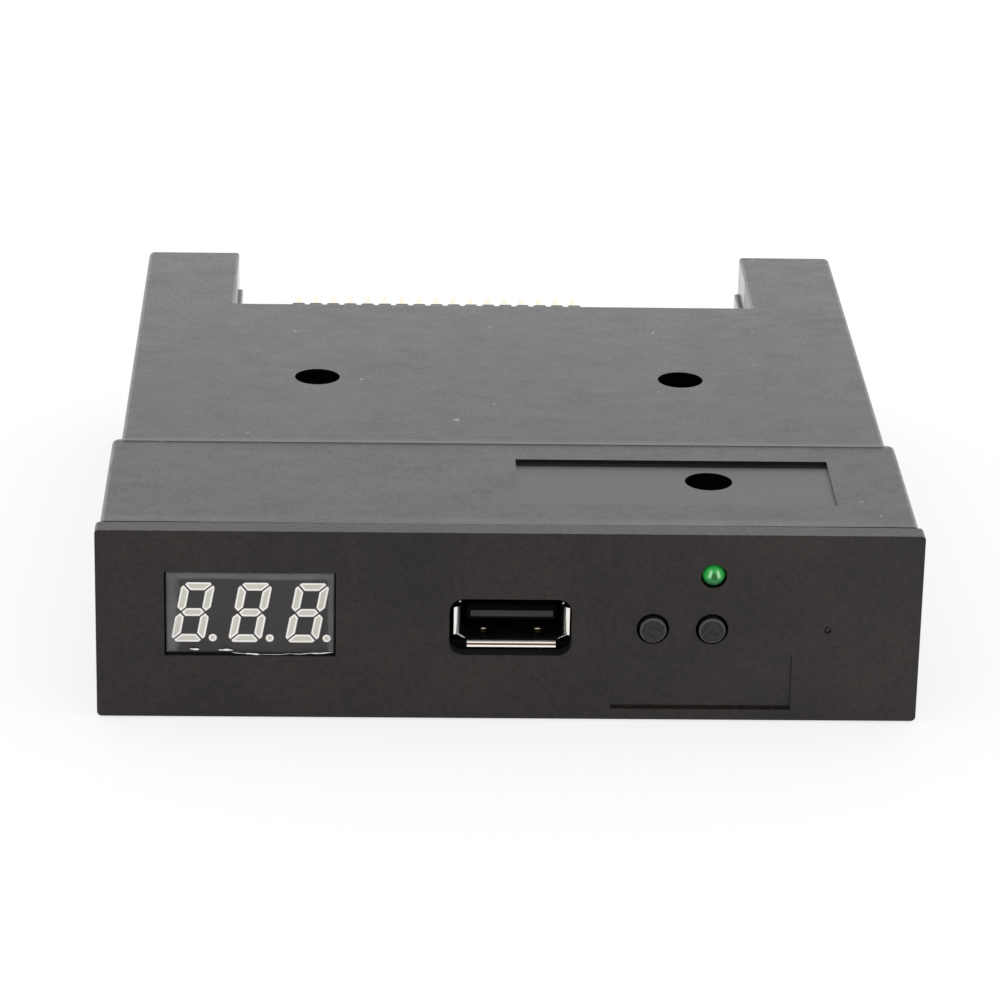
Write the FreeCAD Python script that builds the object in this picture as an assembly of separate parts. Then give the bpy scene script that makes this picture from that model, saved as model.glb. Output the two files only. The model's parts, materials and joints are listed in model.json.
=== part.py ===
import FreeCAD, Part
import math
import os

# A drive-bay storage emulator: a moulded case in three pieces round one main board, with a socket,
# a three-digit display, a lamp and two push buttons at the front and pin headers at the rear.
# Sizes are in millimetres. X runs right, Y from the front face to the rear, Z up from the table.

# Case shells
bezel_width = 101.6
case_height = 24.8
body_length = 106.4
hood_inset = 0.5
body_inset = 1.17
hood_end = 31.5
rear_rise = 0.2
rise_lap = 0.9
rise_bevel = 0.2
wall = 2.0
roof = 2.0
floor = 2.0
seam_drop = 5.45
ear_width = 12.93
notch_depth = 22.23
tray_ear_step = 0.5
hood_corner_r = 1.0
ear_corner_r = 0.9
notch_corner_r = 0.6
top_edge_r = 0.6
foot_edge_r = 0.4
seam_bevel = 0.2

# Ribs, lips and skirt inside the shells
rib_width = 1.2
roof_rib_drop = 1.5
floor_rib_rise = 1.2
lip_width = 10.0
lip_reach = 1.6
lip_thickness = 1.2
lip_gap = 0.1
ear_lip_width = 4.0
first_lip = 10.0
last_lip = 20.0
skirt_gap = 1.5
passage_gap = 0.5
rest_y = 8.6

# Label recess in the roof
recess_width = 39.7
recess_length = 15.1
recess_depth = 0.48
recess_front = 10.0
recess_shift = -0.25

# Bezel
bezel_plate = 2.0
bezel_depth = 3.1
bezel_bow = 0.3
rim_width = 1.4
bezel_top_r = 0.5
bezel_bottom_r = 0.6
bezel_edge_r = 0.15
collar_wall = 1.05
collar_depth = 1.4
frame_depth = 3.0
tab_width = 8.0
tab_thickness = 1.2
tab_reach = 3.3
tab_gap = 0.15
hook_thickness = 1.4
hook_height = 4.0
hook_reach = 9.0
hook_barb = 0.8
hook_gap = 0.2
pocket_depth = 1.3
label_width = 22.35
label_height = 7.3
label_bottom = 1.48
label_depth = 0.65
label_offset = 2.55
gate_offset = 1.4
gate_r = 0.47
gate_nub_r = 0.2
gate_depth = 0.35

# Display window and module
window_from_left = 18.93
window_above_middle = 1.43
window_width = 21.05
window_height = 11.15
module_gap = 0.2
module_recess = 0.6
module_depth = 6.4
film_thickness = 0.12
film_margin = 0.12
film_wave = (0.15, 0.5, 0.3, 0.05, 0.3, 0.2)
digit_count = 3
digit_pitch = 7.0
digit_height = 7.94
digit_width = 4.1
digit_slant = 10.5
segment_width = 1.05
segment_gap = 0.2
segment_depth = 0.5
dot_r = 0.5
dot_x = 2.4
dot_z = -3.4

# Main board
board_level = 7.5
board_thickness = 1.6
board_gap = 1.7
board_front_gap = 0.4
board_overhang = 1.4
bay_gap = 2.0

# Socket, after the standard mouth of 12.5 by 5.12
usb_x = 0.35
usb_hole_shift = -0.2
usb_rise = 3.23
usb_mouth_width = 12.5
usb_mouth_height = 5.12
usb_sheet = 0.3
usb_length = 13.8
usb_corner_r = 0.5
usb_side_gap = 0.31
usb_end_gap = 0.2
usb_hole_r = 1.75
flare_r = 1.0
flare_sweep = 72.0
flare_front = 1.95
flare_corner = 1.05
usb_tab_y = (5.8, 11.0)
usb_tab_width = 2.0
tab_slot_gap = 0.15
tongue_side_gap = 0.7
tongue_top_gap = 0.7
tongue_thickness = 1.84
tongue_front = 2.3
tongue_bevel = 0.45
tongue_base = 2.7
tongue_fit = 0.03
floor_relief = 0.1
contact_width = 0.95
contact_thickness = 0.25
contact_places = (-3.5, -1.0, 1.0, 3.5)
contact_start = 0.9
contact_leg = 0.7
contact_shoulder = 0.4
spring_place = 3.25
spring_width = 1.5
spring_bow = 0.45
spring_crest_y = 5.0
spring_front_run = 1.6
spring_rear_run = 3.4

# Buttons, their switches and the lamp
buttons_from_right = 29.47
button_spacing = 7.29
button_r = 1.63
button_gap = 0.39
button_proud = 0.7
button_bevel = 0.2
button_lip = 0.68
button_flange = 1.0
button_stem_r = 1.3
button_rest_gap = 0.2
button_travel = 0.3
switch_size = 6.0
switch_lift = 0.19
switch_depth = 3.4
switch_front = 7.3
plunger_proud = 1.0
plunger_r = 1.7
plunger_gap = 0.08
plunger_seat = 1.4
plunger_room = 0.3
bracket_sheet = 0.3
bracket_gap = 0.05
bracket_depth = 2.0
lamp_drop = 5.42
lamp_r = 1.53
lamp_gap = 0.07
lamp_lip = 0.3
lamp_flange = 1.0
lamp_proud = 0.45
lamp_lead = 0.5
lamp_lead_gap = 2.54
lamp_lead_bend = 1.0
lamp_leg_y = 13.0

# Display board
display_board_height = 16.0
display_board_left = 14.1
display_board_margin = 0.3
display_board_thickness = 1.6
display_pin = 0.5
display_pin_gap = 0.15
display_pin_proud = 1.0
display_pin_rows = 8.9
display_pins_a_row = 6
peg_post_r = 1.8
peg_r = 0.8
peg_gap = 0.08
peg_head = 0.6
peg_inset = 1.9

# Lead from the display board to the main board
lead_ways = 4
lead_pitch = 2.0
wire_r = 0.6
lead_straight = 4.0
lead_bend_r = 6.0
lead_lift = 0.5
lead_to_boss = 0.5
socket_height = 4.5
socket_depth = 6.0
socket_wall = 0.8
plug_proud = 2.0
plug_gap = 0.1

# Rear headers, on the 2.54 grid
pitch = 2.54
header_x = -7.44
header_columns = 17
header_overhang = 9.0
header_notch = 0.5
pin_width = 0.64
pin_free = 5.9
pin_tip = 0.2
pin_leg_gap = 1.3
pin_below = 1.4
pin_hole_gap = 0.05
jumper_columns = 3
jumper_space = 1.0
jumper_setback = 7.4
cap_width = 2.3
cap_length = 6.0
cap_gap = 0.05
cap_end = 0.6
cap_bevel = 0.3
power_space = 1.2
power_ways = 4
power_depth = 9.0
power_back = 2.2
power_shelf = 1.1
power_cheek = 0.8
power_height = 5.0
power_pin_rise = 3.0

# Case screws, one of them through the label recess
screw_r = 1.45
screw_length = 8.0
screw_head_r = 2.6
screw_head = 1.9
screw_head_bevel = 0.6
screw_slot = 0.7
screw_slot_reach = 1.7
screw_point = 0.7
screw_fit = 0.02
screw_tip_gap = 0.2
screw_gap = 0.15
head_gap = 0.4
boss_wall = 1.1
well_floor = 2.0
post_wall = 1.9
rear_screw_to_notch = 29.77
rear_screws_apart = 48.5
rear_screws_x = -0.07
front_screw_y = 19.1
front_screw_right = 4.15

# Side holes for the bay's M3 screws
mount_hole_r = 1.3
mount_hole_depth = 5.0
mount_hole_z = 5.0
mount_boss_r = 3.0
mount_from_rear = 2.4
mount_spacing = 70.0

# Parts on the main board
chip_size = 7.0
chip_height = 1.4
chip_bevel = 0.15
chip_stand = 0.1
chip_leads_a_side = 12
chip_lead_pitch = 0.5
chip_lead_width = 0.22
lead_sheet = 0.15
lead_reach = 1.0
driver_length = 9.9
driver_width = 3.9
driver_height = 1.5
driver_leads_a_side = 8
driver_lead_pitch = 1.27
driver_lead_width = 0.42
regulator_length = 6.5
regulator_width = 3.5
regulator_height = 1.6
regulator_tab = 3.0
regulator_leg = 0.7
regulator_leg_pitch = 2.3
regulator_sheet = 0.25
regulator_reach = 1.75
regulator_exit = 1.0
regulator_to_notch = 8.0
regulator_x = 25.9
crystal_length = 10.0
crystal_width = 3.8
crystal_height = 3.5
crystal_edge_r = 0.4
crystal_flange = 0.5
crystal_flange_height = 0.4
capacitor_r = 2.5
capacitor_height = 5.8
capacitor_bevel = 0.3
capacitor_base = 5.4
capacitor_base_height = 0.9
capacitor_base_corner = 1.0
capacitors_x = (-20.7, 12.1)
capacitors_to_notch = 10.0
small_length = 1.6
small_width = 0.8
small_height = 0.5
small_pitch = 3.0
small_row = 7
small_side_pitch = 2.2
small_gap = 4.0

# Heights, edges and places that follow from the sizes above
hood_half = bezel_width / 2 - hood_inset
body_half = hood_half - body_inset
notch_half = body_half - ear_width
tray_notch_half = notch_half - tray_ear_step
notch_start = body_length - notch_depth
case_front = bezel_depth
deck_z = case_height + rear_rise
roof_z = case_height - roof
seam_z = case_height - seam_drop
board_bottom = board_level
board_top = board_level + board_thickness
board_half = notch_half - board_gap
board_front = bezel_depth + board_front_gap
header_rear = body_length + header_overhang
board_rear = header_rear - board_overhang
pin_tip_y = header_rear + pin_free
pin_foot = board_bottom - pin_below
usb_z = board_top + usb_rise
usb_hole_x = usb_x + usb_hole_shift
usb_reach = flare_r * (1 - math.cos(math.radians(flare_sweep)))
usb_hole_half_width = usb_mouth_width / 2 + usb_sheet + usb_reach + usb_side_gap
usb_hole_half_height = usb_mouth_height / 2 + usb_sheet + usb_reach + usb_end_gap
tongue_half = usb_mouth_width / 2 - tongue_side_gap
tongue_low = usb_z + usb_mouth_height / 2 - tongue_top_gap - tongue_thickness
buttons_x = bezel_width / 2 - buttons_from_right
button_z = board_top + switch_lift + switch_size / 2
button_hole_r = button_r + button_gap
button_flange_r = button_hole_r + button_lip
lamp_hole_r = lamp_r + lamp_gap
lamp_flange_r = lamp_hole_r + lamp_lip
pin_hole_r = pin_width * math.sqrt(0.5) + pin_hole_gap
left_button_x = buttons_x - button_spacing / 2
right_button_x = buttons_x + button_spacing / 2
lamp_x = right_button_x
lamp_z = case_height - lamp_drop
window_x = window_from_left - bezel_width / 2
window_z = case_height / 2 + window_above_middle
module_back = module_recess + module_depth
display_board_back = module_back + display_board_thickness
display_left = window_x - display_board_left
display_bottom = window_z - display_board_height / 2
display_top = window_z + display_board_height / 2
socket_width = lead_ways * lead_pitch + 2 * socket_wall
bay_y = display_board_back + socket_depth + bay_gap
screw_clear_r = screw_r + screw_gap
well_r = screw_head_r + head_gap
boss_r = well_r + boss_wall
post_r = screw_r + screw_fit + post_wall
rear_screw_y = notch_start - rear_screw_to_notch
screw_places = (
    (rear_screws_x - rear_screws_apart / 2, rear_screw_y),
    (rear_screws_x + rear_screws_apart / 2, rear_screw_y),
    (buttons_x + front_screw_right, front_screw_y),
)
screw_seat = board_top + well_floor
lead_x = screw_places[0][0] + boss_r + lead_to_boss + socket_width / 2
display_right = lead_x + socket_width / 2 + display_board_margin
bay_x = display_right + bay_gap
mount_last_y = body_length - mount_from_rear
mount_places = (mount_last_y - mount_spacing, mount_last_y)
jumper_rear = header_rear - jumper_setback
jumper_x = header_x + (header_columns + jumper_columns) * pitch / 2 + jumper_space
power_x = jumper_x + (jumper_columns + power_ways) * pitch / 2 + power_space
power_front = board_rear - power_depth
origin_y = (pin_tip_y - button_proud) / 2


def outline(corners, place):
    """A flat face through (u, v, radius) corners, where place turns a point of the plane into space."""
    ends = []
    edges = []
    count = len(corners)
    for i, (u, v, radius) in enumerate(corners):
        here = FreeCAD.Vector(u, v, 0)
        back = (FreeCAD.Vector(*corners[i - 1][:2], 0) - here).normalize()
        on = (FreeCAD.Vector(*corners[(i + 1) % count][:2], 0) - here).normalize()
        if radius <= 0:
            ends.append((here, here))
            continue
        half = back.getAngle(on) / 2
        start = here + back * (radius / math.tan(half))
        end = here + on * (radius / math.tan(half))
        crown = here + (back + on).normalize() * (radius / math.sin(half) - radius)
        edges.append(Part.Arc(place(start), place(crown), place(end)).toShape())
        ends.append((start, end))
    for i, (_, end) in enumerate(ends):
        start = ends[(i + 1) % count][0]
        if end.distanceToPoint(start) > 1e-6:
            edges.append(Part.makeLine(place(end), place(start)))
    return Part.Face(Part.Wire(Part.__sortEdges__(edges)))


def plan_prism(corners, z0, z1):
    face = outline(corners, lambda p: FreeCAD.Vector(p.x, p.y, z0))
    return face.extrude(FreeCAD.Vector(0, 0, z1 - z0))


def front_prism(corners, y0, y1):
    face = outline(corners, lambda p: FreeCAD.Vector(p.x, y0, p.y))
    return face.extrude(FreeCAD.Vector(0, y1 - y0, 0))


def side_prism(corners, x0, x1):
    face = outline(corners, lambda p: FreeCAD.Vector(x0, p.x, p.y))
    return face.extrude(FreeCAD.Vector(x1 - x0, 0, 0))


def rectangle(u0, u1, v0, v1, radius=0):
    return [(u0, v0, radius), (u1, v0, radius), (u1, v1, radius), (u0, v1, radius)]


def sharp(*points):
    return [(u, v, 0) for u, v in points]


def box(x0, x1, y0, y1, z0, z1):
    return Part.makeBox(x1 - x0, y1 - y0, z1 - z0, FreeCAD.Vector(x0, y0, z0))


def rod_x(y, z, radius, x0, x1):
    return Part.makeCylinder(radius, x1 - x0, FreeCAD.Vector(x0, y, z), FreeCAD.Vector(1, 0, 0))


def rod_y(x, z, radius, y0, y1):
    return Part.makeCylinder(radius, y1 - y0, FreeCAD.Vector(x, y0, z), FreeCAD.Vector(0, 1, 0))


def rod_z(x, y, radius, z0, z1):
    return Part.makeCylinder(radius, z1 - z0, FreeCAD.Vector(x, y, z0), FreeCAD.Vector(0, 0, 1))


def join(first, *others):
    return first.fuse(list(others)).removeSplitter()


def group(solids):
    return Part.makeCompound(list(solids))


def level_at(edge, z):
    return abs(edge.BoundBox.ZMin - z) < 1e-4 and abs(edge.BoundBox.ZMax - z) < 1e-4


def round_edges(shape, radius, wanted):
    return shape.makeFillet(radius, [e for e in shape.Edges if wanted(e)])


def bevel_edges(shape, size, wanted):
    return shape.makeChamfer(size, [e for e in shape.Edges if wanted(e)])


def both_sides(shape):
    """The shape and its mirror image across the middle plane."""
    return [shape, shape.mirror(FreeCAD.Vector(0, 0, 0), FreeCAD.Vector(1, 0, 0))]


def mirrored(right):
    """A closed run of corners from its right half."""
    return right + [(-u, v, radius) for u, v, radius in reversed(right)]


def hood_prism(z0, z1):
    """The wide part of the case, just behind the bezel."""
    corners = mirrored([(hood_half, case_front, 0), (hood_half, hood_end, hood_corner_r)])
    return plan_prism(corners, z0, z1)


def body_prism(front, ear_inside, z0, z1):
    """The narrower part, with a rear notch that leaves an ear at each side."""
    right = [
        (body_half, front, 0),
        (body_half, body_length, ear_corner_r),
        (ear_inside, body_length, 0),
        (ear_inside, notch_start, notch_corner_r),
    ]
    return plan_prism(mirrored(right), z0, z1)


def cavity_prism(ear_inside, z0, z1):
    """The hollow inside the walls, open at the front where the bezel closes it."""
    inner = ear_inside + wall
    right = [
        (hood_half - wall, case_front - 1, 0),
        (hood_half - wall, hood_end - wall, 0),
        (body_half - wall, hood_end - wall, 0),
        (body_half - wall, body_length - wall, 0),
        (inner, body_length - wall, 0),
        (inner, notch_start - wall, notch_corner_r),
    ]
    return plan_prism(mirrored(right), z0, z1)


def cover_bosses():
    """Each case screw's tube, from the roof down to the main board."""
    return [rod_z(x, y, boss_r, board_top, roof_z + roof / 4) for x, y in screw_places]


def cover_ribs():
    """Stiffening ribs under the roof, along and across it."""
    top = roof_z + roof / 4
    bottom = roof_z - roof_rib_drop
    start = hood_end + wall
    end = notch_start - wall
    along = [
        box(x - rib_width / 2, x + rib_width / 2, start, end, bottom, top)
        for x in (-body_half / 2, body_half / 2)
    ]
    across = [
        box(wall - body_half, body_half - wall, y - rib_width / 2, y + rib_width / 2, bottom, top)
        for y in (start + (end - start) / 3, end - (end - start) / 4)
    ]
    return along + across


def cover_lips():
    """Lips on the side walls that drop inside the tray's walls and line the two up."""
    inside = body_half - wall
    lips = []
    for y, width in (
        (hood_end + first_lip, lip_width),
        (notch_start - last_lip, lip_width),
        (body_length - ear_width / 2, ear_lip_width),
    ):
        y0, y1 = y - width / 2, y + width / 2
        root = box(inside - lip_thickness, inside + wall / 4, y0, y1, seam_z, roof_z + roof / 4)
        tip = box(inside - lip_thickness, inside - lip_gap, y0, y1, seam_z - lip_reach, seam_z + wall)
        lips += both_sides(join(root, tip))
    return lips


def top_cover():
    hood = hood_prism(seam_z, case_height)
    behind = case_front + 0.01
    hood = round_edges(
        hood, top_edge_r, lambda e: level_at(e, case_height) and e.BoundBox.YMax > behind
    )
    deck_front = hood_end - rise_lap
    deck = body_prism(deck_front, notch_half, seam_z, deck_z)
    deck = round_edges(
        deck, top_edge_r, lambda e: level_at(e, deck_z) and e.BoundBox.YMax > deck_front + 0.01
    )
    rise = sharp(
        (deck_front - 1, deck_z - rise_bevel - 1),
        (deck_front + rise_bevel + 1, deck_z + 1),
        (deck_front - 1, deck_z + 1),
    )
    deck = deck.cut(side_prism(rise, -body_half, body_half))
    cavity = cavity_prism(notch_half, seam_z - 1, roof_z)
    shell = join(hood, deck).cut(cavity)
    passage_half = board_half + passage_gap
    skirt = box(
        lip_gap - passage_half,
        passage_half - lip_gap,
        notch_start - wall,
        notch_start,
        board_top + skirt_gap,
        roof_z + roof / 4,
    )
    shell = join(shell, skirt, *cover_ribs(), *cover_lips(), *cover_bosses())
    wells = [rod_z(x, y, well_r, screw_seat, deck_z + 1) for x, y in screw_places]
    holes = [rod_z(x, y, screw_clear_r, board_top - 1, screw_seat + 1) for x, y in screw_places]
    recess_x = buttons_x + recess_shift
    recess = box(
        recess_x - recess_width / 2,
        recess_x + recess_width / 2,
        recess_front,
        recess_front + recess_length,
        case_height - recess_depth,
        case_height + 1,
    )
    return shell.cut([recess] + wells + holes)


def tray_posts():
    """A post under the main board for each case screw."""
    return [rod_z(x, y, post_r, floor / 2, board_bottom) for x, y in screw_places]


def tray_ribs():
    """Low floor ribs, and one rib that holds the main board up behind the socket's mouth."""
    end = notch_start - wall / 2
    start = bay_y + wall
    along = [
        box(x - rib_width / 2, x + rib_width / 2, start, end, floor / 2, floor + floor_rib_rise)
        for x in (-body_half / 2, 0, body_half / 2)
    ]
    side = body_half - wall / 2
    across = [
        box(-side, side, y - rib_width / 2, y + rib_width / 2, floor / 2, floor + floor_rib_rise)
        for y in (start + (end - start) / 4, end - (end - start) / 4)
    ]
    rest_end = usb_x + 2 * tongue_half
    rest = box(bay_x, rest_end, rest_y, rest_y + rib_width, floor / 2, board_bottom)
    return along + across + [rest]


def bottom_tray():
    tray = join(hood_prism(0, seam_z), body_prism(hood_end - hood_corner_r, tray_notch_half, 0, seam_z))
    behind = case_front + 0.01
    tray = round_edges(tray, foot_edge_r, lambda e: level_at(e, 0) and e.BoundBox.YMax > behind)
    tray = bevel_edges(tray, seam_bevel, lambda e: level_at(e, seam_z) and e.BoundBox.YMax > behind)
    outer = tray
    cavity = cavity_prism(tray_notch_half, floor, seam_z + 1)
    tray = tray.cut(cavity)
    inner = body_half - mount_hole_depth - wall / 2
    bosses = [
        boss.common(outer)
        for y in mount_places
        for boss in both_sides(rod_x(y, mount_hole_z, mount_boss_r, inner, body_half - wall / 2))
    ]
    tray = join(tray, *tray_posts(), *tray_ribs(), *bosses)
    passage_half = board_half + passage_gap
    cuts = [
        box(-passage_half, passage_half, notch_start - wall - 1, notch_start + 1, board_bottom, seam_z + 1)
    ]
    bore_end = screw_seat - screw_length - screw_tip_gap
    for x, y in screw_places:
        cuts.append(rod_z(x, y, screw_r + screw_fit, bore_end, board_bottom + 1))
    for y in mount_places:
        cuts += both_sides(
            rod_x(y, mount_hole_z, mount_hole_r, body_half - mount_hole_depth, hood_half + 1)
        )
    for z in hook_levels():
        cuts += both_sides(hook_pocket(z))
    return tray.cut(cuts)


def hook_levels():
    """Mid-heights of the two hooks at each side of the bezel."""
    middle = (floor + seam_z) / 2
    return (middle - hook_height, middle + hook_height)


def hook_pocket(z):
    inside = hood_half - wall
    tip = bezel_plate + hook_reach
    half = hook_height / 2 + hook_gap
    return box(
        inside - 1, inside + pocket_depth, tip - 2 * hook_barb - hook_gap, tip + hook_gap, z - half, z + half
    )


def bezel_hook(z):
    """A sprung arm behind the bezel whose barb sits in the tray wall's pocket."""
    face = hood_half - wall - hook_gap
    tip = bezel_plate + hook_reach
    barb = tip - 2 * hook_barb
    corners = sharp(
        (face - hook_thickness, bezel_plate / 2),
        (face, bezel_plate / 2),
        (face, barb),
        (face + hook_barb + hook_gap, barb),
        (face, tip),
        (face - hook_thickness, tip),
    )
    return plan_prism(corners, z - hook_height / 2, z + hook_height / 2)


def bezel_tabs():
    """Flat tabs that slip under the roof and over the floor."""
    tabs = []
    y0 = bezel_plate / 2
    y1 = bezel_plate + rim_width + tab_reach
    under = roof_z - tab_gap
    over = floor + tab_gap
    for x in (display_left + tab_width, usb_x, hood_half - 2 * tab_width):
        tabs.append(box(x - tab_width / 2, x + tab_width / 2, y0, y1, under - tab_thickness, under))
    for x in (window_x, buttons_x):
        tabs.append(box(x - tab_width / 2, x + tab_width / 2, y0, y1, over, over + tab_thickness))
    return tabs


def bezel_rim():
    """The rim behind the plate. It bows forward towards its ends, so the joint opens there."""
    half = bezel_width / 2
    ring = front_prism(bezel_outline(), bezel_plate / 2, bezel_depth + 1)
    inner = rectangle(rim_width - half, half - rim_width, rim_width, case_height - rim_width)
    ring = ring.cut(front_prism(inner, 0, bezel_depth + 2))
    past = 1.1
    end_y = bezel_depth - bezel_bow * past**2
    left, middle, right = (
        FreeCAD.Vector(x, y, -1) for x, y in ((-past * half, end_y), (0, bezel_depth), (past * half, end_y))
    )
    rear = FreeCAD.Vector(0, bezel_depth + 2 - end_y, 0)
    wire = Part.Wire(
        [
            Part.Arc(left, middle, right).toShape(),
            Part.makeLine(right, right + rear),
            Part.makeLine(right + rear, left + rear),
            Part.makeLine(left + rear, left),
        ]
    )
    return ring.cut(Part.Face(wire).extrude(FreeCAD.Vector(0, 0, case_height + 2)))


def bezel_outline():
    half = bezel_width / 2
    return [
        (-half, 0, bezel_bottom_r),
        (half, 0, bezel_bottom_r),
        (half, case_height, bezel_top_r),
        (-half, case_height, bezel_top_r),
    ]


def peg_places():
    return [
        (x, z)
        for x in (display_left + peg_inset, display_right - peg_inset)
        for z in (display_bottom + peg_inset, display_top - peg_inset)
    ]


def window_rectangle(grow):
    return rectangle(
        window_x - window_width / 2 - grow,
        window_x + window_width / 2 + grow,
        window_z - window_height / 2 - grow,
        window_z + window_height / 2 + grow,
    )


def front_bezel():
    plate = front_prism(bezel_outline(), 0, bezel_plate)
    plate = round_edges(plate, bezel_edge_r, lambda e: e.BoundBox.YMax < 1e-4)
    behind = bezel_plate / 2
    additions = [bezel_rim()] + bezel_tabs()
    for z in hook_levels():
        additions += both_sides(bezel_hook(z))
    for x in (left_button_x, right_button_x):
        additions.append(rod_y(x, button_z, button_hole_r + collar_wall, behind, bezel_plate + collar_depth))
    additions.append(rod_y(lamp_x, lamp_z, lamp_hole_r + collar_wall, behind, bezel_plate + collar_depth))
    additions.append(front_prism(window_rectangle(rib_width), behind, bezel_plate + frame_depth))
    for x, z in peg_places():
        additions.append(rod_y(x, z, peg_post_r, behind, module_back))
        additions.append(rod_y(x, z, peg_r, behind, display_board_back + peg_head))
    plate = join(plate, *additions)
    through = bezel_plate + frame_depth + 1
    cuts = [
        front_prism(window_rectangle(0), -1, through),
        front_prism(
            rectangle(
                usb_hole_x - usb_hole_half_width,
                usb_hole_x + usb_hole_half_width,
                usb_z - usb_hole_half_height,
                usb_z + usb_hole_half_height,
                usb_hole_r,
            ),
            -1,
            through,
        ),
        rod_y(lamp_x, lamp_z, lamp_hole_r, -1, through),
        rod_y(left_button_x, button_z, button_hole_r, -1, through),
        rod_y(right_button_x, button_z, button_hole_r, -1, through),
        box(
            label_x() - label_width / 2,
            label_x() + label_width / 2,
            -1,
            label_depth,
            label_bottom,
            label_bottom + label_height,
        ),
        gate_mark(),
    ]
    return plate.cut(cuts)


def label_x():
    """The bezel's label recess lies under the buttons and the lamp, a little to the right."""
    return buttons_x + label_offset


def gate_mark():
    """The small round gate mark to the right of the buttons, with its nub."""
    x = (right_button_x + bezel_width / 2) / 2 + gate_offset
    dimple = rod_y(x, button_z, gate_r, -1, gate_depth)
    return dimple.cut(rod_y(x, button_z, gate_nub_r, gate_depth / 3, gate_depth))


def case_screws():
    """Pan-head screws down the cover's wells, through the main board and into the tray's posts."""
    screws = []
    for x, y in screw_places:
        tip = screw_seat - screw_length
        head = rod_z(x, y, screw_head_r, screw_seat, screw_seat + screw_head)
        head = bevel_edges(head, screw_head_bevel, lambda e: level_at(e, screw_seat + screw_head))
        shank = rod_z(x, y, screw_r, tip, screw_seat)
        shank = bevel_edges(shank, screw_point, lambda e: level_at(e, tip))
        top = screw_seat + screw_head
        half = screw_slot / 2
        arm = screw_slot_reach
        cross = [
            box(x - arm, x + arm, y - half, y + half, top - screw_head / 2, top + 1),
            box(x - half, x + half, y - arm, y + arm, top - screw_head / 2, top + 1),
        ]
        screws.append(join(head, shank).cut(cross))
    return group(screws)


def header_columns_x(centre, columns):
    return [centre + (i - (columns - 1) / 2) * pitch for i in range(columns)]


def header_leg_y(rear, row):
    return rear - pitch - pin_leg_gap - row * pitch


def header_block(centre, columns, rear):
    """A two-row block for angled pins, notched between its columns so that it snaps to length."""
    half = columns * pitch / 2
    top = board_top + 2 * pitch
    block = box(centre - half, centre + half, rear - pitch, rear, board_top, top)
    cuts = []
    for i in range(columns + 1):
        x = centre - half + i * pitch
        wide = header_notch + 1
        upper = sharp((x - wide, top + 1), (x, top - header_notch), (x + wide, top + 1))
        lower = sharp((x - wide, board_top - 1), (x, board_top + header_notch), (x + wide, board_top - 1))
        cuts.append(front_prism(upper, rear - pitch - 1, rear + 1))
        cuts.append(front_prism(lower, rear - pitch - 1, rear + 1))
    for x in header_columns_x(centre, columns):
        for row in (0, 1):
            z = board_top + pitch * (row + 0.5)
            h = pin_width / 2
            cuts.append(box(x - h, x + h, rear - pitch - 1, rear + 1, z - h, z + h))
    return block.cut(cuts)


def angled_pin(x, row, rear, free):
    """A square pin that comes out to the rear and turns down through the board."""
    h = pin_width / 2
    z = board_top + pitch * (row + 0.5)
    leg = header_leg_y(rear, row)
    tip = rear + free
    corners = [
        (leg - h, pin_foot, 0),
        (leg - h, z + h, pin_width),
        (tip - 2 * pin_tip, z + h, 0),
        (tip, z + h - pin_tip, 0),
        (tip, z - h + pin_tip, 0),
        (tip - 2 * pin_tip, z - h, 0),
        (leg + h, z - h, 0),
        (leg + h, pin_foot, 0),
    ]
    return side_prism(corners, x - h, x + h)


def header_pins(centre, columns, rear, free):
    return group(
        angled_pin(x, row, rear, free) for x in header_columns_x(centre, columns) for row in (0, 1)
    )


def jumper_cap():
    """The push-on cap that links the two pins of the first jumper column."""
    x = header_columns_x(jumper_x, jumper_columns)[0]
    h = pin_width / 2 + cap_gap
    y0 = jumper_rear
    bottom = board_top + cap_gap
    top = board_top + 2 * pitch - cap_gap
    cap = box(x - cap_width / 2, x + cap_width / 2, y0, y0 + cap_length + cap_end, bottom, top)
    cap = bevel_edges(cap, cap_bevel, lambda e: e.BoundBox.YMin > y0 + cap_length)
    holes = []
    for row in (0, 1):
        z = board_top + pitch * (row + 0.5)
        holes.append(box(x - h, x + h, y0 - 1, y0 + cap_length, z - h, z + h))
    return cap.cut(holes)


def power_pin_places():
    return header_columns_x(power_x, power_ways)


def power_socket():
    """The supply header: an upright back with a shelf and two low cheeks behind it."""
    left = power_x - power_ways * pitch / 2
    right = power_x + power_ways * pitch / 2
    back = power_front + power_back
    top = board_top + power_height
    low = top - power_back
    housing = join(
        box(left, right, power_front, back, board_top, top),
        box(left, right, power_front, board_rear, board_top, board_top + power_shelf),
        box(left, left + power_cheek, power_front, board_rear, board_top, low),
        box(right - power_cheek, right, power_front, board_rear, board_top, low),
    )
    cuts = []
    h = pin_width / 2
    z = power_pin_z()
    for x in power_pin_places():
        cuts.append(box(x - h, x + h, power_front - 1, back + 1, z - h, z + h))
    return housing.cut(cuts)


def power_pin_z():
    return board_top + power_pin_rise


def power_leg_y():
    return power_front - pin_leg_gap


def power_pins():
    h = pin_width / 2
    z = power_pin_z()
    leg = power_leg_y()
    tip = board_rear - pin_tip
    corners = [
        (leg - h, pin_foot, 0),
        (leg - h, z + h, pin_width),
        (tip - 2 * pin_tip, z + h, 0),
        (tip, z + h - pin_tip, 0),
        (tip, z - h + pin_tip, 0),
        (tip - 2 * pin_tip, z - h, 0),
        (leg + h, z - h, 0),
        (leg + h, pin_foot, 0),
    ]
    return group(side_prism(corners, x - h, x + h) for x in power_pin_places())


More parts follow.
